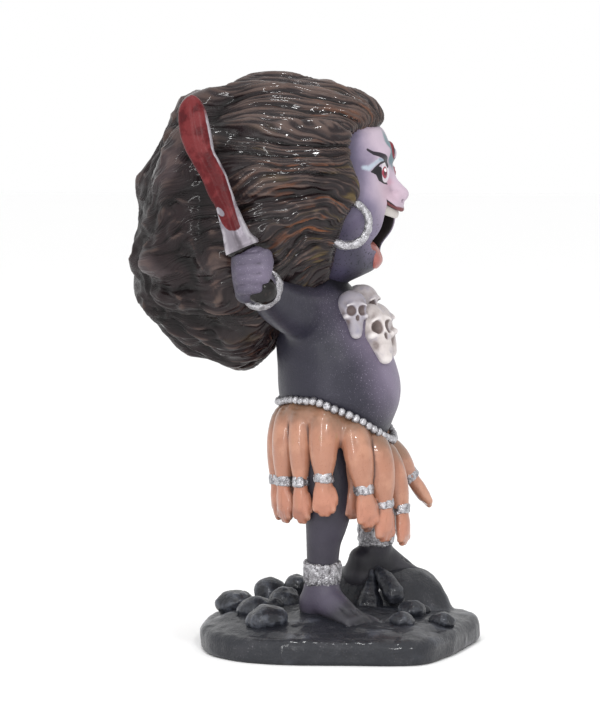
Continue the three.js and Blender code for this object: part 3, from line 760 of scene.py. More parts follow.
def head():
    """Skull, muzzle and chin, then cheeks, brows and eyes, then nose, third eye, mouth and upper lip."""
    clay = Clay((-18, -17, 73), (18, HEAD_BACK + 1, 113), cell=0.26)
    clay.add(stack(HEAD))
    clay.add(ball((0, -8.3, 93.9), (6.9, 6.1, 2.9)), 1.6)
    clay.add(ball((0, -7.2, 90.0), (8.2, 4.95, 5.0)), 2.0)
    for side in (-1, 1):
        clay.add(ball((8.0 * side, -7.2, 94.2), (4.6, 3.6, 4.6)), 3.0)
        clay.add(ball((5.6 * side, -9.7, 104.6), (4.6, 1.7, 1.4), (0, 12 * side, 20 * side)), 2.0)
        clay.cut(ball((6.0 * side, -12.3, 100.6), (3.2, 1.5, 2.4), (0, 0, 30 * side)), 1.2)
        clay.add(ball((5.5 * side, -9.4, 100.6), (2.9, 2.0, 2.3), (0, 0, 25 * side)), 0.5)
    clay.add(limb(NOSE), 1.4)
    clay.add(ball((0, -14.2, 95.75), (1.5, 1.3, 1.25)), 0.6)
    for side in (-1, 1):
        clay.add(ball((1.6 * side, -13.1, 95.5), (1.1, 1.4, 1.05)), 0.5)
        clay.cut(ball((0.85 * side, -14.1, 94.4), (0.42, 0.55, 0.45)), 0.3)
    clay.add(ball((0, -11.1, 105), (1.5, 1.3, 2.6)), 0.5)
    clay.cut(mouth_hollow(), 0.7)
    clay.add(lip(UPPER_LIP), 0.3)
    clay.cut_behind(HEAD_BACK)
    points, faces = clay.skin(rounds=2)
    x, y, z = points.T
    values = {
        "aside": np.abs(np.arctan2(x, -y)) * FACE_RADIUS,
        "level": z,
        "mouth": mouth_hollow().distance(x, y, z),
        "lip": lip(UPPER_LIP).distance(x, y, z),
    }
    piece("head", (faced(points), faces), face_paint(), values)


def teeth():
    """The upper row of teeth, on an arc behind the lip."""
    clay = Clay((-6.5, -14.5, 88.5), (6.5, -5, 95.5), cell=0.16)
    turns = np.radians(np.linspace(-72, 72, 11))
    arc = [[5 * math.sin(t), -8.5 - 4.2 * math.cos(t), 91.7 + 1.3 * math.sin(t) ** 2] for t in turns]
    clay.add(limb([[*place, 1.25, 0.5] for place in arc], across=(0, 0, 1)))
    for x, y, z in np.add(arc[1:], arc[:-1]) / 2:
        clay.cut(limb([[1.12 * x, y - 0.5, z - 1.4, 0.12], [1.12 * x, y - 0.5, z + 1.2, 0.1]]), 0.1)
    points, faces = clay.skin(rounds=1)
    paint = Paint("teeth", "bone_paint", (184, 178, 174))
    # Painted shade between the teeth and in their hollows.
    paint.over(paint.value("ridge").step(-0.01, -0.12) * 0.8, (96, 76, 72))
    grain = paint.noise(0.5)
    paint.finish(relief=grain * 0.05, roughness=grain * 0.2 + 0.35)
    piece("teeth", (faced(points), faces), paint)


TONGUE = [
    [0, -3, 83.6, 3.0, 1.5],
    [0, -6.2, 84.3, 3.2, 1.25],
    [0, -7.5, 83.5, 3.0, 1.05],
    [0, -8.25, 82.2, 2.8, 1.05],
    [0, -8.45, 81.1, 2.8, 1.1],
    [0, -8.0, 80.2, 2.2, 1.0],
]


def tongue():
    """The tongue, with a groove down its middle."""
    clay = Clay((-5, -13, 77.5), (5, 0, 88.5), cell=0.18)
    clay.add(limb(TONGUE, across=(1, 0, 0)))
    clay.cut(limb([[0, -6.2, 86.0, 0.5], [0, -8.6, 85, 0.6], [0, -9.8, 82, 0.4]]), 0.6)
    points, faces = clay.skin(rounds=2)
    paint = Paint("tongue", "face_paint", (152, 88, 82), coat=0.3, coat_roughness=0.2)
    paint.over(paint.noise(2.0, detail=3.0).step(-0.1, 0.25) * 0.5, (174, 112, 104))
    # Painted shade in the groove and hollows.
    paint.over(paint.value("ridge").step(-0.02, -0.2) * 0.6, (98, 44, 40))
    grain = paint.noise(0.35)
    paint.finish(relief=grain * 0.06, roughness=grain * 0.2 + 0.36)
    piece("tongue", (faced(points), faces), paint)


# Hair: rows of middle in y and z, half height, half width and lean in degrees, from the hairline back

HAIR = [
    [-3.4, 93.8, 17.4, 15.2, -17],
    [-3.2, 93.9, 20.3, 18, -18],
    [-0.4, 94.5, 22.8, 20.8, -16],
    [4.4, 94.4, 25.2, 23.4, -12],
    [9.8, 92.8, 28, 25.4, -6],
    [16.7, 91.1, 30.8, 26.6, 1],
    [23.8, 88.8, 30.9, 26.4, 4],
    [31.4, 87, 28.3, 24.2, 6],
    [38.3, 84.5, 22.4, 19.6, 5],
    [43, 82.5, 15.3, 13.6, 4],
    [45.6, 80.7, 8, 7.2, 3],
    [46.6, 80.4, 1.2, 1.1, 3],
]
HAIR_COLUMNS = 570
HAIR_STEPS = 12
BIG_LOCKS = {"count": 15, "depth": 0.032, "sway": 0.5, "lumps": 0.035}
LOCKS = 42
STRANDS = 4  # in each lock


def big_lock_lift(turn, back):
    """The share by which the big locks and lumps lift the hair."""
    strand = np.cos(BIG_LOCKS["count"] * turn + BIG_LOCKS["sway"] * np.sin(9 * back + 2 * turn))
    lump = np.sin(17 * back + 1.5 * np.sin(3 * turn)) * np.sin(5 * turn + 2) * smooth(back, 0.35, 0.7)
    return BIG_LOCKS["depth"] * strand * smooth(back, 0, 0.15) + BIG_LOCKS["lumps"] * lump


def hairline(turn):
    """How far back the hair starts: more at the temples, less in front of the ears."""
    return 8.0 * around(np.abs(turn), 0.8, 0.34) - 2 * around(np.abs(turn), 1.42, 0.24)


def fine_locks(points, turn, back, along):
    """The height of the locks and strands in mm, each point's place across the strands, and its folds."""
    curled = smooth(back, 0.4, 0.75)
    flow = points * [1, 0.36, 1]
    wander = noise(flow, 11.0, 3) + 0.65 * noise(flow, 4.5, 4) + 0.16 * noise(flow, 1.8, 7)
    place = LOCKS * turn / (2 * math.pi) + wander + 0.1 * curled * np.sin(along / 2.2 + 5 * wander)
    lock = np.floor(place)
    share = place - lock
    number = np.mod(lock, LOCKS).astype(np.int64)
    own = lattice(number, np.int64(9), np.int64(4), 6)
    crest = np.sqrt(np.clip(np.sin(math.pi * share), 0, 1)) - 0.75
    strands = np.cos(2 * math.pi * STRANDS * share + 1.5 * noise(points, 4.0, 5))
    folds = 2 * np.abs(noise(points * [1, 0.8, 1], 9.0, 8)) - 0.5
    tufts = noise(points * [1, 0.5, 1], 3.2, 9)
    ends = noise(np.stack(np.broadcast_arrays(lock * 3.3, along / 5.5, turn * 0), axis=-1), 1.0, 12)
    thin = 1 - 0.65 * smooth(along, 10, 3)
    pole = smooth(back, 0.76, 0.93)
    height = (0.5 + 0.8 * own) * (crest + 0.35 * ends) * (1 - 0.35 * curled) * thin
    height = (height + 0.18 * strands * (1 - 0.6 * curled)) * (1 - pole)
    curls = 0.35 - np.abs(noise(points * [1, 0.6, 1] + 0.8 * wander[..., None], 2.6, 14))
    wisps = 0.3 - np.abs(noise(points * [1, 0.22, 1] + 0.6 * wander[..., None], 1.7, 15))
    height = height + curled * (1.9 * folds + 0.9 * curls)
    height = height + (0.22 * tufts + 0.5 * (1 - curled) * wisps) * thin
    return height, place * STRANDS, curled * (folds + 0.5 * curls)


def hair():
    """The hair as rings of points from the hairline to the back, raised into locks."""
    rows = curve(HAIR, HAIR_STEPS)
    last = (len(HAIR) - 2) * HAIR_STEPS
    back = (np.arange(len(rows)) / last)[:, None]
    turn = np.linspace(-math.pi, math.pi, HAIR_COLUMNS, endpoint=False)[None, :]
    y, z, high, wide, lean = (rows[:, i, None] for i in range(5))
    lean = np.radians(lean)
    lift = 1 + big_lock_lift(turn, back)
    points = np.empty(lift.shape + (3,))
    points[..., 0] = np.sin(turn) * wide * lift
    points[..., 1] = y + np.cos(turn) * high * lift * np.sin(lean)
    points[..., 2] = z + np.cos(turn) * high * lift * np.cos(lean)
    points[..., 1] += hairline(turn) * (1 - smooth(back, 0, 0.25))
    step = np.linalg.norm(np.diff(points, axis=0), axis=2)
    along = np.vstack([np.zeros((1, HAIR_COLUMNS)), np.cumsum(step, axis=0)])
    height, strand, fold = fine_locks(points, turn, back, along)
    height = height * smooth(along, 0, 2.5) * smooth(high, 1, 6)
    flat, faces = capped(points)
    fields = {"strand": strand, "along": along, "fold": fold, "turn": np.broadcast_to(turn, along.shape)}
    values = {key: np.append(field.ravel(), [0, 0]) for key, field in fields.items()}
    flat = flat + np.append(height.ravel(), [0, 0])[:, None] * normals(flat, faces)
    piece("hair", (flat, faces), hair_paint(), values, rounds=10)


def hair_paint():
    """Glossy brown-black, grey-brown brushed over the ridges, orange and gold streaks near the face, with
    painted light at the top and front and painted shade at the back and in the gaps and folds.
    """
    paint = Paint("hair", "hair_paint", (30, 20, 22), coat=0.34, coat_roughness=0.07, specular=0.15)
    ridge, along, turn, strand = (paint.value(n) for n in ("ridge", "along", "turn", "strand"))
    streak = paint.noise(1.0, detail=3.0, along=paint.vector(strand * 0.55, along * 0.1, turn))
    patch = paint.noise(9.0)
    # Painted light: the brushing grows paler towards the top and the front.
    top_and_front_light = paint.z.step(92.0, 124.0) * 0.34 + paint.y.step(14.0, 2.0) * 0.06
    # Painted shade: the back of the hair gets less brushing; behind also thins the coat there and lights the
    # folds at the back.
    behind = paint.y.step(12.0, 32.0)
    brushed = (ridge * 2.2 + streak * 0.9 + patch * 0.5 + top_and_front_light - behind * 0.2).step(0.24, 0.84)
    # Painted shade in the gaps between the locks.
    paint.over(ridge.step(-0.02, -0.34) * 0.9, (6, 4, 4))
    paint.over(brushed * (0.62 - behind * 0.2), (100, 82, 75))
    # Painted shade in the folds, then a painted highlight on the folds' crests at the back.
    paint.over(paint.value("fold").step(0.1, -0.45) * 0.75, (12, 8, 9))
    paint.over(paint.value("fold").step(0.45, 1.1) * behind * 0.4, (84, 72, 74))
    near = (along + patch * 26.0).step(40.0, 6.0) * (1.0 - paint.z.step(108.0, 122.0) * 0.6)
    orange = (streak + patch * 0.35).step(0.09, 0.22) * near * ridge.step(-0.25, 0.05)
    paint.over(orange * 0.75, (122, 68, 30))
    gold = (patch * 0.5 - streak).step(0.1, 0.26) * near * ridge.step(-0.35, -0.05)
    paint.over(gold * 0.65, (98, 80, 40))
    wave = paint.math("SINE", strand * (2 * math.pi * 1.5) + streak * 4.0)
    grain = paint.noise(0.3)
    paint.feed(paint.surface.inputs["Coat Weight"], 0.36 - behind * 0.2)
    rough = (patch + streak * 0.4).step(-0.14, 0.16) * 0.3 + 0.24
    return paint.finish(relief=wave * 0.05 + streak * 0.25 + grain * 0.06, roughness=rough)


# Trunk, raised arms and hands

TRUNK = [
    [38.5, -1.5, 7, 6.4],
    [41, -1.2, 9.4, 8.6],
    [45, -0.7, 12, 11],
    [50, 0.3, 13.9, 13.2],
    [58, 0.9, 13.8, 13.2],
    [62, 2, 13.2, 12.4],
    [66, 3.3, 12.6, 11.5],
    [70, 3.6, 12, 9.8],
    [73.5, 3.8, 10.4, 7.8],
    [76.5, 4.4, 7.8, 5.7],
    [80, 4.8, 5.6, 4.6],
    [82, 4.8, 5.2, 4.5],
]
ARM = [
    [-7, 6.2, 69.8, 6.4],
    [-14, 8.8, 70.8, 5.7],
    [-20, 11.4, 72.6, 4.8],
    [-25, 13.1, 74.7, 4.0],
    [-27.2, 13.9, 75.7, 3.8],
]
WRIST = [[-26.3, 13.5, 75.25, 3.85], [-28.9, 14.5, 76.6, 3.85], [-30.6, 15.2, 78, 3.5]]
FIST = [
    [-31.8, 16.9, 75.3, 2.2, 2.3],
    [-31.6, 16.0, 77.4, 3.6, 3.3],
    [-31.6, 15.6, 80.4, 4.4, 3.7],
    [-31.6, 15.4, 82.2, 4.6, 3.2],
]
THUMB = [[-33.4, 12.5, 78.4, 1.1], [-33.9, 12.1, 80.8, 1.4], [-33.7, 12.3, 83.3, 1.5]]
PALM = [[29.6, 15.2, 77.4, 3, 2.2], [31, 15.4, 80.6, 4, 1.9], [31.8, 15.4, 84, 4.1, 1.6]]
OPEN_FINGERS = [
    ([28.9, 15.1, 84.6], [28.2, 14.4, 87.4], [28.0, 13.4, 89.4]),
    ([31.0, 15.4, 85.2], [31.0, 14.8, 88.6], [31.0, 13.7, 91.0]),
    ([33.1, 15.4, 85.0], [33.6, 14.9, 88.2], [33.8, 13.9, 90.5]),
    ([35.0, 15.3, 84.2], [35.9, 15.0, 86.8], [36.1, 14.2, 88.6]),
]
OPEN_THUMB = [[29, 14.8, 79, 1.5], [26.9, 13.9, 81.6, 1.3], [26.4, 13.2, 83.7, 1.05]]
# Where lavender lies on the skin: the middle of each patch, its reach and its strength
SKIN_GLOW = [
    ((-4, -12, 55), 8.5, 1.0),
    ((-6, -7, 66), 7.5, 1.05),
    ((6, -7, 66), 7.5, 1.05),
    ((4, -12, 55), 8.5, 1.0),
    ((-33, 14, 80), 6.0, 1.15),
    ((32, 14, 84), 8.0, 1.1),
    ((-13, 4, 73), 7.0, 0.35),
    ((13, 4, 73), 7.0, 0.35),
    ((-9, 1, 22), 8.0, 0.4),
    ((-10, 3, 6), 6.0, 0.9),
    ((13, -9, 24), 7.0, 0.35),
]


def glow_at(points):
    """How much lavender lies on each place."""
    total = np.zeros(len(points))
    for place, reach, amount in SKIN_GLOW:
        total += amount * np.exp(-(((points - np.array(place)) ** 2).sum(axis=1)) / reach**2)
    return total


def fist_fingers():
    """Four fingers curled round the grip, one above the other, each shorter than the one over it."""
    for finger in range(4):
        z = 82.7 - 2.15 * finger
        back, front = 18.0 - 0.15 * finger, 12.9 + 0.35 * finger
        middle = (back + front) / 2
        yield limb([[-34.3, back, z - 0.2, 1.1], [-34.9, middle, z, 1.15], [-34.2, front, z + 0.2, 1.1]])


def fist():
    """The right hand, closed round the grip. It starts under the bangle."""
    clay = Clay((-38, 7, 69), (-21, 24, 88), cell=0.25)
    clay.add(limb(WRIST))
    clay.add(limb(FIST, across=(0, 1, 0)), 0.8)
    for finger in fist_fingers():
        clay.add(finger, 0.45)
    clay.add(limb(THUMB), 0.6)
    return clay


def open_hand():
    """The left hand, raised with its fingers spread."""
    clay = Clay((21, 7, 69), (38.5, 21, 93), cell=0.28)
    clay.add(limb([mirrored(station) for station in WRIST]))
    clay.add(limb(PALM, across=(1, 0, 0)), 1.0)
    for joints in OPEN_FINGERS:
        clay.add(limb([[*place, radius] for place, radius in zip(joints, (1.25, 1.15, 0.95))]), 0.5)
    clay.add(limb(OPEN_THUMB), 0.6)
    return clay


def body():
    """The trunk with arms and breasts, then neck, belly and navel, and both hands."""
    clay = Clay((-38, -15, 37.5), (38, 24, 93), cell=0.44)
    clay.add(stack(TRUNK))
    for side in (1, -1):
        clay.add(limb([mirrored(s) if side < 0 else s for s in ARM]), 2.6)
        clay.add(ball((4.6 * side, -5.6, 67.4), (4.6, 3.4, 3.8)), 2.5)
    clay.add(limb([[0, 5.2, 74, 5.2], [0, 5.4, 80, 4.5], [0, 4, 85, 5]]), 2.0)
    clay.add(ball((0, -6.4, 52.4), (9.5, 6.6, 6.8)), 2.5)
    clay.cut(ball((0, -13.4, 51.5), (0.7, 1.2, 0.9)), 0.5)
    points, faces = joined([part.skin(rounds=2) for part in (clay, fist(), open_hand())])
    piece("body", (points, faces), skin_paint(), {"glow": glow_at(points)}, rounds=16)


# Legs and feet

RIGHT_LEG = [
    [-7.8, 2.4, 40, 6.2],
    [-7.9, 1.8, 29, 5.6],
    [-7.9, 2.1, 23.6, 4.8],
    [-7.9, 2.9, 18, 3.8],
    [-7.6, 3.2, 9, 3.3],
    [-7.4, 3.6, 5.5, 3.3],
]
LEFT_LEG = [
    [8, -1, 40, 6.2],
    [10.4, -5.6, 31, 5],
    [11.6, -6.6, 25, 4],
    [11.9, -6.8, 20.4, 3.5],
    [12, -7, 15.4, 3.3],
    [12, -7, 12, 3.3],
]
FEET = [
    {"ankle": [-7.6, 3.2, 11], "heel": [-6.6, 5.6, 3.2], "turn_out": -33, "drop": 2.6},
    {"ankle": [12, -7, 14.6], "heel": [10.3, -3.7, 10.3], "turn_out": 36, "drop": 3.4},
]


def foot(clay, ankle, heel, turn_out, drop):
    """A bare foot from heel to toes, turned out from straight ahead, that slopes down to the toes by drop."""
    turn = math.radians(turn_out)
    ahead = np.array([math.sin(turn), -math.cos(turn), 0])
    across = np.array([math.cos(turn), math.sin(turn), 0])
    inward = 1 if turn_out < 0 else -1

    def place(forward, aside, up):
        return np.array(heel) + ahead * forward + across * aside * inward + [0, 0, up - drop * forward / 18]

    sole = [(0, 2, 3.1, 2.7), (5, 2.2, 3.4, 3), (10, 1.1, 4, 2.1), (13, 0.7, 4.2, 1.5)]
    clay.add(limb([[*place(forward, 0, up), wide, high] for forward, up, wide, high in sole], across), 1.0)
    clay.add(limb([[*ankle, 3.4], [*place(4.5, 0, 4), 3.2], [*place(10.5, 0, 1.2), 2.2]]), 1.5)
    for toe in range(5):
        aside = 3.5 - 1.75 * toe
        radius = 1.2 - 0.13 * toe
        knuckle, middle = place(11.5, aside * 0.85, 1.0), place(14.6 - 0.5 * toe, aside, 0.7)
        tip = place(16.8 - 0.75 * toe, aside, -0.1)
        joints = [(knuckle, 0.85), (middle, 0.8), (tip, 0.65)]
        clay.add(limb([[*joint, radius, radius * flat] for joint, flat in joints], across), 0.25)
        sinew = [[*place(8.5, (aside - 0.9) * 0.75, 3.2), 0.18], [*place(13.5, aside - 0.9, 2.3), 0.22]]
        clay.cut(limb(sinew), 0.4)


def legs():
    """Both legs and feet, with the right heel and the boulder under the left foot."""
    clay = Clay((-24, -28, -2), (28, 11, 46), cell=0.38)
    clay.add(limb(RIGHT_LEG))
    clay.add(limb(LEFT_LEG))
    for shape in FEET:
        foot(clay, **shape)
    clay.add(limb([[-7.4, 4.2, 8, 3.2], [-6.9, 5.2, 3.4, 3.1]]), 0.8)
    clay.add(limb([[11, -3.6, 8.4, 4.2], [15, -9, 7.2, 4.4], [18, -14.6, 4.6, 3.6]]), 1.2)
    points, faces = clay.skin(rounds=2)
    raised = 7.0 * smooth(points[:, 0], 2, 7)
    front = 4.0 * smooth(points[:, 1], 2, -6)
    values = {"glow": glow_at(points), "dust": smooth(points[:, 2] - raised - front, 6, 0.5)}
    piece("legs", (points, faces), leg_paint(), values, rounds=14)


def leg_paint():
    """The skin's paint, which turns into the plinth's charcoal at the feet, with painted shade in the
    hollows.
    """
    paint = Paint("leg_skin", "painted_resin", (43, 41, 49))
    cloud = paint.noise(5.0, detail=4.0)
    glow = paint.value("glow") + cloud * 0.3
    paint.over(glow.step(0.05, 0.7) * 0.7, (84, 78, 94))
    speckled(paint, glow.step(0.6, 0.0) * 0.3, (26, 26, 31), size=0.5)
    dust = paint.value("dust") + cloud * 0.4
    paint.over(dust.step(0.2, 0.9) * 0.85, (44, 44, 48))
    paint.over(paint.value("ridge").step(0.02, 0.2) * paint.value("dust") * 0.25, (80, 78, 86))
    # Painted shade in the hollows.
    paint.over(paint.value("ridge").step(-0.02, -0.25) * 0.8, (18, 18, 21))
    grain = paint.noise(0.4, detail=3.0)
    return paint.finish(relief=grain * 0.06 + cloud * 0.15, roughness=grain * 0.25 + 0.45)


# Belt and skirt of severed arms

BELT = {
    "middle": 0.5,
    "half_width": 14.3,
    "half_depth": 13.5,
    "height": 49.1,
    "dip": 8.1,
    "hips": 1.55,
    "droop": 1.2,
    "beads": 54,
    "bead": 0.95,
}
# Parts of a severed arm: rows of share of the way down, aside, away from the body, and two radii
UPPER_ARM = [
    (0.05, 0, -0.9, 2.3, 1.9),
    (0.14, 0, -0.2, 3.0, 2.6),
    (0.3, 0, 0, 3.15, 2.85),
    (0.46, 0, 0, 2.8, 2.55),
    (0.58, 0, 0, 2.15, 2.05),
    (0.68, 0, 0, 1.6, 1.55),
]
BACK_OF_HAND = [(0.68, 0, 0, 1.6, 1.4), (0.78, 0, 0, 2.25, 1.6), (0.88, 0, -0.1, 2.45, 1.5)]
SEVERED_THUMB = [(0.77, 1.6, -0.3, 0.95, 0.95), (0.83, 2.15, -0.4, 0.8, 0.8), (0.89, 2.2, -0.7, 0.65, 0.65)]
FINGERS = [(1.65, 0.95), (0.56, 0.98), (-0.56, 0.98), (-1.65, 0.945)]  # aside, and share of the way down
USUAL_LENGTH = 25.0  # of a severed arm


def belt_at(turn):
    """The place on the belt at an angle from the front towards her left."""
    behind = -np.cos(turn)
    front = np.maximum(0, -behind) ** 1.4
    rise = BELT["hips"] * smooth(behind, -0.1, 0.3) - BELT["droop"] * smooth(behind, 0.7, 1)
    y = BELT["middle"] - BELT["half_depth"] * np.cos(turn) * (1 - 0.12 * front)
    z = BELT["height"] - BELT["dip"] * front + rise
    return np.stack([BELT["half_width"] * np.sin(turn), y, z], axis=-1)


class SeveredArm:
    """Where things lie on one arm that hangs from the belt, by its share of the way down.

    start and end are degrees from the front towards her left, at the belt and at the fingertips. The hand
    stands out by out, and a larger curl bends the arm nearer the belt. Inner arms lie behind the others and
    wear no bracelet.
    """

    def __init__(self, start, end, length=USUAL_LENGTH, out=1.5, curl=3, thick=1.0, wrist=0.65, inner=False):
        self.start, self.end, self.out, self.curl = start, end, out, curl
        self.length, self.thick, self.wrist, self.inner = length, thick, wrist, inner
        x, y, self.top = belt_at(math.radians(start))
        self.reach = math.hypot(x, y - BELT["middle"]) - (4 if inner else 1.4)
        turn = math.radians(end)
        self.across = np.array([math.cos(turn), math.sin(turn), 0])

    def place(self, share, aside=0.0, away=0.0):
        """The place at a share of the way down, moved aside along the arm's width and away from the body."""
        share = np.interp(share, (-0.05, 0, 0.65, 1), (-0.05, 0, self.wrist, 1))
        turn = math.radians(self.start + (self.end - self.start) * share)
        radius = self.reach + self.out * (1 - (1 - share) ** self.curl) + away
        height = self.top - 0.6 - self.length * share
        middle = np.array([radius * math.sin(turn), BELT["middle"] - radius * math.cos(turn), height])
        return middle + self.across * aside * self.thick

    def rows(self, stations):
        """Rows of a limb from rows of share, aside, away, radius across and radius through."""
        sizes = [[wide * self.thick, deep * self.thick] for *_, wide, deep in stations]
        return [[*self.place(*station[:3]), *size] for station, size in zip(stations, sizes)]

    def sculpt(self, clay):
        """Adds the arm with its hand, fingers and thumb to the clay."""
        clay.add(limb(self.rows(UPPER_ARM), self.across, steps=3), 0.3)
        clay.add(limb(self.rows(BACK_OF_HAND), self.across), 0.6)
        for aside, tip in FINGERS:
            joints = [(0.86, aside * 0.88, -0.05, 0.9, 0.9), (0.93, aside, 0.05, 0.92, 0.92)]
            joints.append((tip, aside * 0.95, -0.25, 0.8, 0.8))
            clay.add(limb(self.rows(joints)), 0.3)
        clay.add(limb(self.rows(SEVERED_THUMB)), 0.35)

    def bracelet(self, seed):
        start, end = self.place(0.61), self.place(0.69)
        radii = (1.72 * self.thick, 1.7 * self.thick)
        skin = band(start, end, radii, self.across, (1.15, 0.42), columns=54, rows=14)
        return crumpled(roughened(skin, 0.9, 0.2, seed), 1.1, 0.25, seed + 1)


RIGHT_ARMS = [
    SeveredArm(-172, -170, 26),
    SeveredArm(-147, -142, 26.5),
    SeveredArm(-122, -118, 26.7, thick=0.9),
    SeveredArm(-97, -95, 23.8, thick=1.05, out=2.4),
    SeveredArm(-70, -57, 23.8, thick=1.05, out=2.4),
    SeveredArm(-44, -38, 24, out=2.7, thick=1.12),
    SeveredArm(-20, -16, 23.2, out=5, curl=2),
    SeveredArm(-66, -66, 22, thick=0.85, out=0.6, inner=True),
    SeveredArm(-40, -40, 22, thick=0.85, out=0.6, inner=True),
]
LEFT_ARMS = [
    SeveredArm(6, 20, 15.4, out=11.2, curl=1, wrist=0.5),
    SeveredArm(3, 4, 22.5, out=1.2, thick=0.85),
    SeveredArm(34, 42, 23.5, out=2.2),
    SeveredArm(62, 66, 24, out=2),
    SeveredArm(88, 92, 25, out=2.2, thick=1.05),
    SeveredArm(114, 117, 26),
    SeveredArm(139, 141, 25.5),
    SeveredArm(163, 166, 26),
]
# The skirt is whole between the arms' tops: where each web lies on her right, and its share of the way down
WEBS = [(-134, 0.2), (-109, 0.21), (-84, 0.26), (-58, 0.21), (-33, 0.2)]


def from_axis(points):
    """How far points are from the upright line through the belt's middle."""
    return np.hypot(points[:, 0], points[:, 1] - BELT["middle"])


def skirt_half(name, arms, side, cell):
    """Half of the skirt, where side is 1 on her right and -1 on her left. Gives its bracelets."""
    clay = Clay((-24, -28, 8), (24, 20, 52), cell)
    for arm in arms:
        arm.sculpt(clay)
    for turned, depth in WEBS:
        web = SeveredArm(turned * side, turned * side)
        stations = [(0.05, 0, -1.0, 2.0, 1.9), (depth - 0.08, 0, -0.4, 1.9, 2.1), (depth, 0, -0.6, 1.2, 1.4)]
        clay.add(limb(web.rows(stations)), 1.2)
    points, faces = clay.skin(rounds=1)
    belt = belt_at(np.arctan2(points[:, 0], BELT["middle"] - points[:, 1]))
    share = (belt[:, 2] - points[:, 2]) / USUAL_LENGTH
    values = {"share": share, "inset": from_axis(belt) - from_axis(points)}
    piece(name, (points, faces), ARM_PAINT, values, rounds=22)
    return [arm.bracelet(7 * number) for number, arm in enumerate(arms) if not arm.inner]


def arm_paint():
    """Glossy peach, redder at the hands, with painted shade in the grooves, under the belt and on the inner
    arms, and a painted highlight on what stands out.
    """
    paint = Paint("severed_arms", "arm_paint", (162, 113, 91), coat=0.5, coat_roughness=0.09)
    share, ridge = paint.value("share"), paint.value("ridge")
    cloud = paint.noise(4.0, detail=4.0)
    paint.over(cloud.step(-0.05, 0.2) * 0.5, (186, 138, 113))
    paint.over((share + cloud * 0.4).step(0.6, 0.85) * 0.55, (176, 114, 92))
    # Painted shadow on the arms' tops, under the belt.
    paint.over((share + cloud * 0.3).step(0.3, 0.04) * 0.7, (104, 84, 66))
    streaks = paint.noise(1.3, detail=3.0, stretch=(1, 1, 0.2))
    paint.over(streaks.step(0.05, 0.2) * 0.4, (140, 92, 70))
    stain = paint.noise(3.2, stretch=(1, 1, 0.5))
    paint.over(stain.step(0.16, 0.3) * 0.35, (136, 116, 74))
    paint.over((share + cloud * 0.3).step(0.9, 1.02) * 0.45, (112, 62, 48))
    # Painted shade in the grooves between the arms.
    paint.over((ridge + cloud * 0.1).step(-0.02, -0.32) * 0.92, (60, 31, 25))
    # Painted shade on the arms that lie further in, towards the body.
    paint.over(paint.value("inset").step(1.5, 4.0) * 0.75, (58, 42, 38))
    # Painted highlight on what stands out.
    paint.over(ridge.step(0.14, 0.5) * 0.3, (214, 172, 148))
    speckled(paint, 0.3, (110, 62, 46), size=0.3)
    grain = paint.noise(0.35)
    return paint.finish(relief=grain * 0.03 + cloud * 0.12, roughness=grain * 0.2 + cloud * 0.3 + 0.34)


def belt_beads():
    """The belt's uneven beads on their cord, with a painted highlight on the side of each that faces out and
    painted shade on its sides and on the cord.
    """
    parts, lit_and_shaded = [], []
    base, faces = sphere(3)
    for number, turn in enumerate(2 * math.pi * np.arange(BELT["beads"]) / BELT["beads"]):
        out = np.array([math.sin(turn), -math.cos(turn), 0])
        middle = belt_at(turn) + out * (0.6 - 0.9 * max(0, -math.cos(turn)))
        size = BELT["bead"] * (1 + 0.08 * noise([[number * 1.7, 0, 0]], 1.0, 4)[0])
        points = base * size * (1 + 0.16 * noise(base + number * 3, 0.7, 5))[:, None] + middle
        parts.append((points, faces))
        # Painted light: the outward side of each bead is lit, its sides shaded.
        lit_and_shaded.append(0.42 * (base @ out) - 0.2)
    columns, rows = 90, 6
    points, faces = band((0, 0, 0), (0, 0, 1), (0, 0), (1, 0, 0), (0.4, 0.4), columns, rows)
    parts.append((points + np.tile(belt_at(circle(columns)), (rows, 1)) - [0, 0, 0.5], faces))
    # Painted shade: the cord between the beads.
    lit_and_shaded.append(np.full(len(points), -0.4))
    piece("belt", joined(parts), SILVER, {"ridge": np.concatenate(lit_and_shaded)})


def silver_paint():
    """Silver, paler on what stands out as painted highlight, darker in the hollows and along thin noise
    creases as painted shade.
    """
    paint = Paint("silver", "silver_paint", (146, 144, 148), metallic=0.8)
    ridge = paint.value("ridge")
    cloud = paint.noise(1.2, detail=3.0)
    crease = paint.math("ABSOLUTE", paint.noise(1.1, detail=3.0))
    # Painted highlight on what stands out; on the belt, on the side of each bead that faces out.
    paint.over((ridge + cloud * 0.2).step(-0.02, 0.16) * 0.7, (200, 199, 203))
    # Painted shade in the hollows.
    paint.over((ridge + cloud * 0.1).step(-0.06, -0.3) * 0.5, (70, 66, 70))
    # Painted shade along thin creases drawn by noise.
    paint.over(crease.step(0.03, 0.0) * 0.55, (58, 54, 58))
    grain = paint.noise(0.3)
    return paint.finish(relief=grain * 0.22 + cloud * 0.2, roughness=grain * 0.2 + cloud * 0.2 + 0.3)


# Jewellery

ANKLETS = [([-7.95, 3.2, 14.6], [-7.6, 3.2, 9.0], 3.55), ([11.9, -6.8, 20.4], [12, -7, 15.4], 3.45)]
BANGLE = ([-26.4, 13.5, 75.3], [-28.7, 14.4, 76.5], 3.95)
HOOP = {"x": 15.2, "y": -3.0, "z": 89.7, "radius": 4.8, "thick": 0.82}


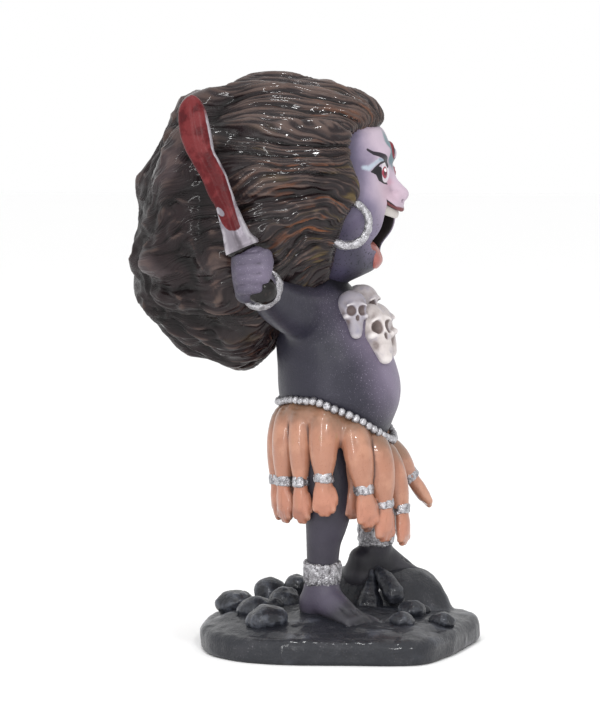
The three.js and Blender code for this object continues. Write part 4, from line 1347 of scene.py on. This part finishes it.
def jewellery(bracelets):
    """The bracelets of the hanging arms with the anklets and bangles, and the hoops."""
    parts = list(bracelets)
    for number, (high, low, radius) in enumerate(ANKLETS):
        skin = band(high, low, (radius, radius), (1, 0, 0), (2.7, 0.85), columns=130, rows=36)
        skin = crumpled(roughened(skin, 1.8, 0.2, 20 + number), 1.7, 0.3, 30 + number)
        parts.append(crumpled(skin, 0.9, 0.2, 40))
    start, end, radius = BANGLE
    for low, high in ((start, end), (mirrored(start), mirrored(end))):
        skin = band(low, high, (radius, radius), (0, 0, 1), (1.3, 0.8), columns=120, rows=24)
        parts.append(roughened(skin, 0.9, 0.18, 50))
    piece("bracelets", joined(parts), SILVER, rounds=6)
    piece("hoops", joined([hoop(side) for side in (-1, 1)]), SILVER, rounds=6)


def hoop(side):
    """A rough hoop that lies flat on the cheek, thicker at the bottom."""
    columns, rows = 150, 22
    turn, roll = circle(columns)[None, :], circle(rows)[:, None]
    thick = HOOP["thick"] * (1 + 0.22 * np.maximum(0, -np.sin(turn)))
    radius = HOOP["radius"] + thick * np.cos(roll)
    flat = np.stack([thick * np.sin(roll) + 0 * turn, radius * np.cos(turn), radius * np.sin(turn)], axis=-1)
    points = spun(flat.reshape(-1, 3), math.radians(-12 * side)) + [HOOP["x"] * side, HOOP["y"], HOOP["z"]]
    skin = outward(points, ring_faces(rows, columns, closed_rows=True))
    return roughened(roughened(skin, 0.9, 0.16, 60), 0.4, 0.09, 61)


# Necklace of skulls: place, size, degrees from the front towards her right, pitch, and how grey each one is
# painted, a lavender-grey that is partly painted shade on the higher skulls under the jaw

SKULLS = [
    ([-8.8, -3.6, 69.8], 1.12, 62, 10, 1.0),
    ([-5.2, -7.6, 65.2], 1.47, 36, 20, 0.0),
    ([4.6, -7.7, 65.2], 1.42, -42, 20, 0.1),
    ([8.6, -3.6, 70.2], 1.12, -62, 10, 0.9),
    ([-1.4, -5.6, 70.6], 1.15, 20, 10, 0.5),
]


def skull_form():
    """A small human skull, face to -Y: a high crown, cheekbones, a narrow jaw, two eyes and a nose."""
    clay = Clay((-4, -4.6, -6), (4, 4, 5.4), cell=0.19)
    clay.add(ball((0, 0.1, 1.4), (2.95, 3.0, 3.1)))
    jaw = [[0, -0.9, -0.6, 2.1, 1.9], [0, -1.2, -2.6, 1.6, 1.5], [0, -1.3, -4.2, 1.15, 1.1]]
    clay.add(limb(jaw, across=(1, 0, 0)), 0.8)
    for side in (-1, 1):
        clay.add(ball((1.8 * side, -1.6, -0.9), (0.85, 0.9, 0.6)), 0.5)
        clay.add(ball((1.15 * side, -2.5, 1.4), (1.15, 0.5, 0.38), (0, 15 * side, 0)), 0.5)
        clay.cut(ball((1.2 * side, -2.8, 0.15), (1.0, 1.35, 1.05), (0, 12 * side, 0)), 0.2)
        clay.cut(ball((2.1 * side, -1.5, -2.7), (0.65, 1.4, 0.9)), 0.5)
    clay.cut(ball((0, -2.9, -1.3), (0.38, 0.8, 0.6)), 0.2)
    for tooth in range(-2, 3):
        clay.cut(limb([[0.42 * tooth, -2.9, -2.4, 0.1], [0.4 * tooth, -2.9, -3.6, 0.1]]), 0.12)
    clay.cut(limb([[-1.3, -2.5, -2.9, 0.12], [0, -3.0, -3.05, 0.12], [1.3, -2.5, -2.9, 0.12]]), 0.12)
    return clay.skin(rounds=1)


def necklace():
    """The skulls of the necklace, each turned its own way."""
    points, faces = skull_form()
    parts, grey_wash_and_shade = [], []
    for place, size, facing, pitch, grey in SKULLS:
        turn = Euler((math.radians(-pitch), 0, 0)).to_matrix()
        turn = Euler((0, 0, math.radians(-facing))).to_matrix() @ turn
        parts.append((points @ np.array(turn).T * size + place, faces))
        grey_wash_and_shade.append(np.full(len(points), grey))
    paint = Paint("bone", "bone_paint", (190, 182, 180))
    ridge = paint.value("ridge")
    cloud = paint.noise(2.0, detail=3.0)
    paint.over(cloud.step(0.0, 0.2) * 0.5, (150, 144, 156))
    # Partly painted shade: the higher skulls, under the jaw, are painted lavender-grey.
    paint.over((paint.value("grey_wash_and_shade") + cloud * 0.6) * 0.6, (122, 120, 138))
    # Painted shade in the hollows, darkest in the eye sockets and gaps.
    paint.over((ridge + cloud * 0.5).step(0.2, -0.16) * 0.85, (98, 82, 78))
    paint.over(ridge.step(-0.24, -0.6), (46, 34, 32))
    # Painted highlight on what stands out.
    paint.over(ridge.step(0.16, 0.45) * 0.6, (226, 220, 218))
    grain = paint.noise(0.35, detail=3.0)
    paint.finish(relief=grain * 0.06, roughness=grain * 0.2 + 0.46)
    piece("skulls", joined(parts), paint, {"grey_wash_and_shade": np.concatenate(grey_wash_and_shade)}, rounds=30)


# Sword

# Rows of x, back edge in y and z, front edge in y and z, and half thickness
HILT = [
    [-32.2, 20.9, 83.3, 14.0, 86.2, 2.5],
    [-32.15, 21.2, 84.6, 14.3, 86.9, 2.6],
    [-32.1, 21.6, 86.6, 15.6, 88.0, 2.2],
    [-32, 22.0, 88.8, 16.6, 89.8, 1.9],
]
BLADE = [
    [-31.6, 23.2, 93, 18.7, 93.9, 1.6],
    [-31, 25.3, 96.9, 20.0, 97.2, 1.6],
    [-30.4, 26.95, 100.3, 21.1, 100.3, 1.65],
    [-29.8, 28.7, 103.1, 22.6, 103, 1.7],
    [-29.3, 30.15, 105.5, 23.85, 105.4, 1.8],
    [-28.8, 31.25, 108.4, 24.45, 108.2, 1.9],
    [-28.4, 31.75, 111.1, 25.15, 111.2, 1.9],
    [-28.1, 31.8, 113.3, 25.8, 113.7, 1.75],
    [-27.95, 31.3, 115.3, 26.7, 115.7, 1.4],
    [-27.85, 30.3, 116.7, 28, 116.95, 0.85],
    [-27.8, 29.3, 117.3, 28.9, 117.35, 0.3],
]
GRIP = [[-32.6, 14.6, 75, 1.7], [-32.3, 16, 79, 1.7], [-32, 17.6, 83.6, 1.7]]
POMMEL = ((-31.4, 13.1, 75.9), (2.8, 2.9, 3.1), (-20, 0, 0))
COLLAR = ((-32.2, 17.5, 84.6), (2.5, 3.5, 1.15), (-24, 0, 0))


def blade_paint():
    """Dark red, lighter towards the top as painted light, with a silver edge along the front and silver
    showing at the hilt.
    """
    paint = Paint("blade", "blade_paint", (76, 17, 21), coat=0.03, coat_roughness=0.2, specular=0.14)
    front, level = paint.value("front"), paint.value("level")
    cloud = paint.noise(3.0, detail=4.0)
    # Painted light: the red is lighter in patches that grow towards the top.
    paint.over((cloud + level.step(92.0, 116.0) * 0.15).step(0.02, 0.2) * 0.65, (112, 44, 46))
    paint.over(cloud.step(-0.05, -0.2) * 0.6, (62, 20, 24))
    ragged = cloud * 0.5 + paint.noise(0.8) * 0.3
    side = paint.math("ABSOLUTE", front)
    tongue_end = (level + ragged * 1.4 - side * side * side * 4.4).step(88.7, 88.45)
    strip = (front + ragged * 0.2 + level.step(97.0, 89.0) * 0.3).step(0.86, 0.92) * level.step(114.5, 112.0)
    chip = oval(paint, front * 3.4, level, (-2.0, 92.5), (1.1, 0.85), -25)
    chip = (chip + ragged * 0.8).step(0.12, -0.05)
    bare = paint.math("MAXIMUM", paint.math("MAXIMUM", strip * 0.85, tongue_end), chip)
    paint.over(bare, (126, 120, 128))
    paint.over(bare * side.step(0.3, 0.05) * level.step(90.5, 87.0) * 0.6, (66, 60, 66))
    paint.over(bare * side.step(0.55, 0.95) * cloud.step(0.12, -0.05) * 0.7, (196, 192, 198))
    paint.feed(paint.surface.inputs["Metallic"], bare * 0.5)
    grain = paint.noise(0.4)
    return paint.finish(relief=cloud * 0.5 + grain * 0.05, roughness=cloud * 0.3 + 0.4)


def blade_skin(stations, columns, steps):
    """A skin between a back and a front edge, with each point's place across: -1 at the back, 1 in front."""
    rows = curve(stations, steps)
    back, front = rows[:, [0, 1, 2]], rows[:, [0, 3, 4]]
    middle, half = (back + front) / 2, (front - back) / 2
    share, face = boxy(np.cos(circle(columns)), 0.9), boxy(np.sin(circle(columns)), 0.8)
    ridge = 1 + 0.22 * np.clip(1 - np.abs(share + 0.1) / 0.3, 0, 1)
    points = middle[:, None] + share[None, :, None] * half[:, None]
    points[..., 0] -= face * ridge * rows[:, 5, None]
    return capped(points), np.append(np.tile(share, len(rows)), [0, 0])


def sword():
    """The blade with its hilt, and the grip with its pommel and collar."""
    skin, front = blade_skin([*HILT, *BLADE], columns=72, steps=12)
    skin = roughened(skin, 3.0, 0.14, 71)
    piece("blade", skin, blade_paint(), {"front": front, "level": skin[0][:, 2]})
    dark = Paint("grip", "hair_paint", (14, 10, 10), coat=0.4, coat_roughness=0.06, specular=0.1)
    dark.over(dark.noise(1.5).step(0.1, 0.25) * 0.5, (52, 42, 39))
    grain = dark.noise(1.0)
    dark.finish(relief=grain * 0.2, roughness=grain * 0.2 + 0.25)
    clay = Clay((-37, 9, 71.5), (-27, 22, 88), cell=0.25)
    clay.add(limb(GRIP))
    clay.add(ball(*POMMEL), 0.4)
    clay.add(ball(*COLLAR), 0.4)
    piece("grip", roughened(clay.skin(rounds=1), 2.2, 0.25, 74), dark)


# Plinth and rocks

PLINTH_LENGTH, PLINTH_WIDTH = 61.8, 56
ROUNDING, UNDER_ROUNDING = 2.2, 1.1  # of the plinth's edge above and below
OUTLINE = [
    [0, 1], [-0.55, 0.93], [-0.87, 0.7], [-1, 0.36], [-0.98, -0.13], [-0.9, -0.63], [-0.56, -0.82],
    [-0.11, -0.94], [0.3, -1], [0.68, -0.84], [0.94, -0.45], [1, 0.06], [0.87, 0.55], [0.49, 0.89],
]
DOME = {"x": -3, "y": 3, "half_width": 17, "half_length": 24, "height": 3.4}
MOUND = {"x": 15.4, "y": -7.5, "half_width": 11.2, "half_length": 17.8, "height": 10}
ROCKS = [
    ((4.4, 24.8), (3.8, 4.3, 3.3), 10, 1),
    ((-6, 18.6), (3.6, 4.2, 3.1), 0, 0.6),
    ((-15.5, 14.4), (4.2, 4.8, 3.5), 20, 0.6),
    ((13.5, 17.6), (4.2, 4.1, 3.8), 0, 2.2),
    ((4, 13), (3.8, 4, 3.2), 40, 0.8),
    ((11.5, 10.8), (3.6, 3.6, 3.7), 0, 3.1),
    ((-1.5, -16.3), (2.9, 3.2, 2.5), 25, 0.7),
    ((-12, -15.2), (2.7, 3, 2.3), 0, 0.4),
    ((-6.5, -23.6), (2.5, 3, 2.1), 0, 0.4),
    ((21, 15.5), (3, 3.6, 2.6), 30, 0.6),
    ((14.5, 24.2), (3.2, 2.8, 2.4), 0, 0.4),
    ((-4.5, 14.2), (2.0, 2.4, 1.9), 50, 0.7),
    ((1.6, -18.6), (1.6, 1.8, 1.4), 15, 0.5),
]
RIBBED_ROCK = [[5, -6.2, 1, 3.4], [6.2, -6.2, 5.5, 1.9], [8, -6.4, 9.9, 0.2]]


def dome_at(x, y):
    """The height of the low dome in the middle of the plinth."""
    wide, long = DOME["half_width"], DOME["half_length"]
    return DOME["height"] * around(x, DOME["x"], wide) * around(y, DOME["y"], long)


def ground(x, y):
    """The height of the ground, with the mound under her left foot."""
    reach = np.hypot((x - MOUND["x"]) / MOUND["half_width"], (y - MOUND["y"]) / MOUND["half_length"])
    return -merge(-dome_at(x, y), -MOUND["height"] * (1 - reach**4.1), 1.6)


def plinth():
    """The plinth as rings of points: out over the top, round the edge, down the side and in underneath."""
    columns = 330
    knots = np.array(OUTLINE + OUTLINE[:1]) * [PLINTH_WIDTH / 2, PLINTH_LENGTH / 2]
    ring = curve(np.vstack([knots[-2:-1], knots, knots[1:2]]), 60)[60:-60]
    length = np.concatenate([[0], np.cumsum(np.linalg.norm(np.diff(ring, axis=0), axis=1))])
    even = np.linspace(0, length[-1], columns, endpoint=False)
    edge = np.stack([np.interp(even, length, ring[:, i]) for i in (0, 1)], axis=1)
    reach = np.linalg.norm(edge, axis=1, keepdims=True)

    def ring_at(inset, z):
        return np.column_stack([edge - edge / reach * inset, np.full(columns, z)])

    rows = []
    for share in np.linspace(0.03, 1, 84):
        flat = edge * share * (1 - ROUNDING / reach)
        fade = 1 - smooth(share, 0.86, 1.0)
        rows.append(np.column_stack([flat, ground(flat[:, 0], flat[:, 1]) * fade]))
    for turn in np.linspace(0.15, math.pi / 2, 8):
        rows.append(ring_at(ROUNDING * (1 - math.sin(turn)), ROUNDING * (math.cos(turn) - 1)))
    under = UNDER_ROUNDING - RIM
    for z in np.linspace(-ROUNDING - 0.35, under, 8):
        rows.append(ring_at(0, z))
    for turn in np.linspace(0.3, math.pi / 2, 4):
        rows.append(ring_at(UNDER_ROUNDING * (1 - math.cos(turn)), under - UNDER_ROUNDING * math.sin(turn)))
    points, faces = capped(np.array(rows)[::-1])
    points[-1, 2] = ground(0.0, 0.0)
    loose = smooth(points[:, 2], -RIM, -RIM + 1.5)
    bump = 0.32 * noise(points, 5.0, 80) + 0.14 * noise(points, 1.6, 81) + 0.05 * noise(points, 0.7, 82)
    points = points + (bump * loose)[:, None] * normals(points, faces)
    piece("plinth", (points, faces), PLINTH_PAINT, {"ridge": 0.4 * bump})


def pebble(middle, radii, turn, seed):
    """A worn stone: a ball cut by flat faces whose edges are rounded."""
    base, faces = sphere(5)
    pick = np.random.default_rng(seed)
    planes = pick.normal(size=(13, 3))
    planes /= np.linalg.norm(planes, axis=1, keepdims=True)
    depth = pick.uniform(0.84, 1.0, 13)
    inverse = (np.maximum(base @ planes.T, 0.0) / depth) ** 12
    points = base / (inverse.sum(axis=1) + 1)[:, None] ** (1 / 12)
    points = spun(points * radii, math.radians(turn)) + middle
    return roughened(roughened((points, faces), 1.6, 0.2, seed), 0.5, 0.06, seed)


def rocks():
    """The loose stones, and a ribbed peak and a slab at the foot of the mound."""
    parts = []
    for number, ((x, y), radii, turn, lift) in enumerate(ROCKS):
        parts.append(pebble((x, y, dome_at(x, y) + lift), np.array(radii) * 1.03, turn, 90 + number))
    clay = Clay((-2, -16, -1), (12, -1, 12.5), cell=0.22)
    clay.add(limb(RIBBED_ROCK))
    foot_x, foot_y = RIBBED_ROCK[0][:2]
    waist_x, waist_y = RIBBED_ROCK[1][:2]
    for rib in range(4):
        turn = math.radians(150 + 62 * rib)
        out_x, out_y = math.cos(turn), math.sin(turn)
        low = [foot_x + 3.9 * out_x, foot_y + 3.9 * out_y, 0.8, 0.5]
        middle = [waist_x + 1.9 * out_x, waist_y + 1.9 * out_y, 5.2, 0.35]
        clay.add(limb([low, middle, RIBBED_ROCK[-1]]), 0.5)
    clay.add(limb([[8.2, -7.8, 10, 0.9], [6.6, -9.6, 8.2, 1.9], [4.8, -11.8, 5.2, 2.5]]), 0.2)
    parts.append(roughened(clay.skin(rounds=1), 1.4, 0.2, 110))
    piece("rocks", joined(parts), PLINTH_PAINT, rounds=10)


def plinth_paint():
    """Charcoal, speckled, rubbed paler and shinier on what stands out, and darker in the hollows as painted
    shade.
    """
    paint = Paint("charcoal", "plinth_paint", (24, 26, 33), coat=0.3)
    ridge = paint.value("ridge")
    cloud = paint.noise(5.0, detail=5.0)
    paint.over(cloud.step(-0.05, 0.22) * 0.5, (50, 50, 55))
    paint.over((ridge + cloud * 0.12).step(0.02, 0.2) * 0.6, (90, 94, 104))
    # Painted shade in the hollows of the rocks and the plinth's dents.
    paint.over((ridge + cloud * 0.05).step(-0.05, -0.3) * 0.7, (14, 14, 16))
    speckled(paint, cloud.step(-0.1, 0.2) * 0.5, (96, 95, 100), size=0.4, rare=0.13)
    speckled(paint, 0.6, (16, 16, 18), size=0.6, rare=0.14)
    grain = paint.noise(0.5, detail=4.0)
    rough = (ridge + cloud * 0.3).step(-0.05, 0.15) * -0.12 + grain * 0.3 + 0.5
    return paint.finish(relief=grain * 0.2 + cloud * 0.3, roughness=rough)


# Room

CAMERA_PLACE = (-594.8, -63.9, 111.6)
CAMERA_AIM = (-1.1, 8.97, 64.49)
LENS, SENSOR = 134.4, 36.0
LIGHT_AIM = (0, 0, 0.07)  # in metres, as are the lights' places and the floor
FLOOR_SIZE = 12.0


def aimed(made, place, aim):
    """Puts a camera or light in its place and points it at its aim."""
    made.location = place
    made.rotation_euler = (aim - place).to_track_quat("-Z", "Y").to_euler()


def camera():
    data = bpy.data.cameras.new("camera")
    data.lens = LENS
    data.sensor_width = SENSOR
    data.clip_start = 0.01
    data.clip_end = 20
    made = placed("camera", data)
    aimed(made, Vector(CAMERA_PLACE) * UNIT, Vector(CAMERA_AIM) * UNIT)
    bpy.context.scene.camera = made


def softbox(name, place, size, power):
    """A lamp with a flat face of two sides, both in metres."""
    data = bpy.data.lights.new(name, "AREA")
    data.shape = "RECTANGLE"
    data.size, data.size_y = size
    data.energy = power
    aimed(placed(name, data), Vector(place), Vector(LIGHT_AIM))


def floor():
    """White paper, which is no part of the object."""
    mesh = bpy.data.meshes.new("floor")
    half = FLOOR_SIZE / 2
    corners = [(-half, -half, 0), (half, -half, 0), (half, half, 0), (-half, half, 0)]
    mesh.from_pydata(corners, [], [(0, 1, 2, 3)])
    material = bpy.data.materials.new("paper")
    material.use_nodes = True
    surface = material.node_tree.nodes["Principled BSDF"].inputs
    surface["Base Color"].default_value = (0.99, 0.99, 0.99, 1)
    surface["Roughness"].default_value = 0.9
    mesh.materials.append(material)
    made = placed("floor", mesh)


def room():
    world = bpy.data.worlds.new("studio")
    bpy.context.scene.world = world
    world.use_nodes = True
    background = world.node_tree.nodes["Background"].inputs
    background["Color"].default_value = (1, 1, 1, 1)
    background["Strength"].default_value = 1.0
    softbox("key", (-0.66, -0.24, 0.42), (0.06, 0.06), 1.3)
    softbox("side", (-0.72, 0.2, 0.33), (0.02, 0.62), 1.8)
    softbox("top", (-0.2, 0.05, 0.9), (0.08, 0.08), 1.3)
    floor()
    bpy.context.scene.view_settings.view_transform = "Standard"


SILVER = silver_paint()
ARM_PAINT = arm_paint()
PLINTH_PAINT = plinth_paint()

camera()
room()
head()
teeth()
tongue()
hair()
body()
legs()
bracelets = skirt_half("right_arms", RIGHT_ARMS, 1, cell=0.28)
bracelets += skirt_half("left_arms", LEFT_ARMS, -1, cell=0.4)
belt_beads()
jewellery(bracelets)
necklace()
sword()
plinth()
rocks()
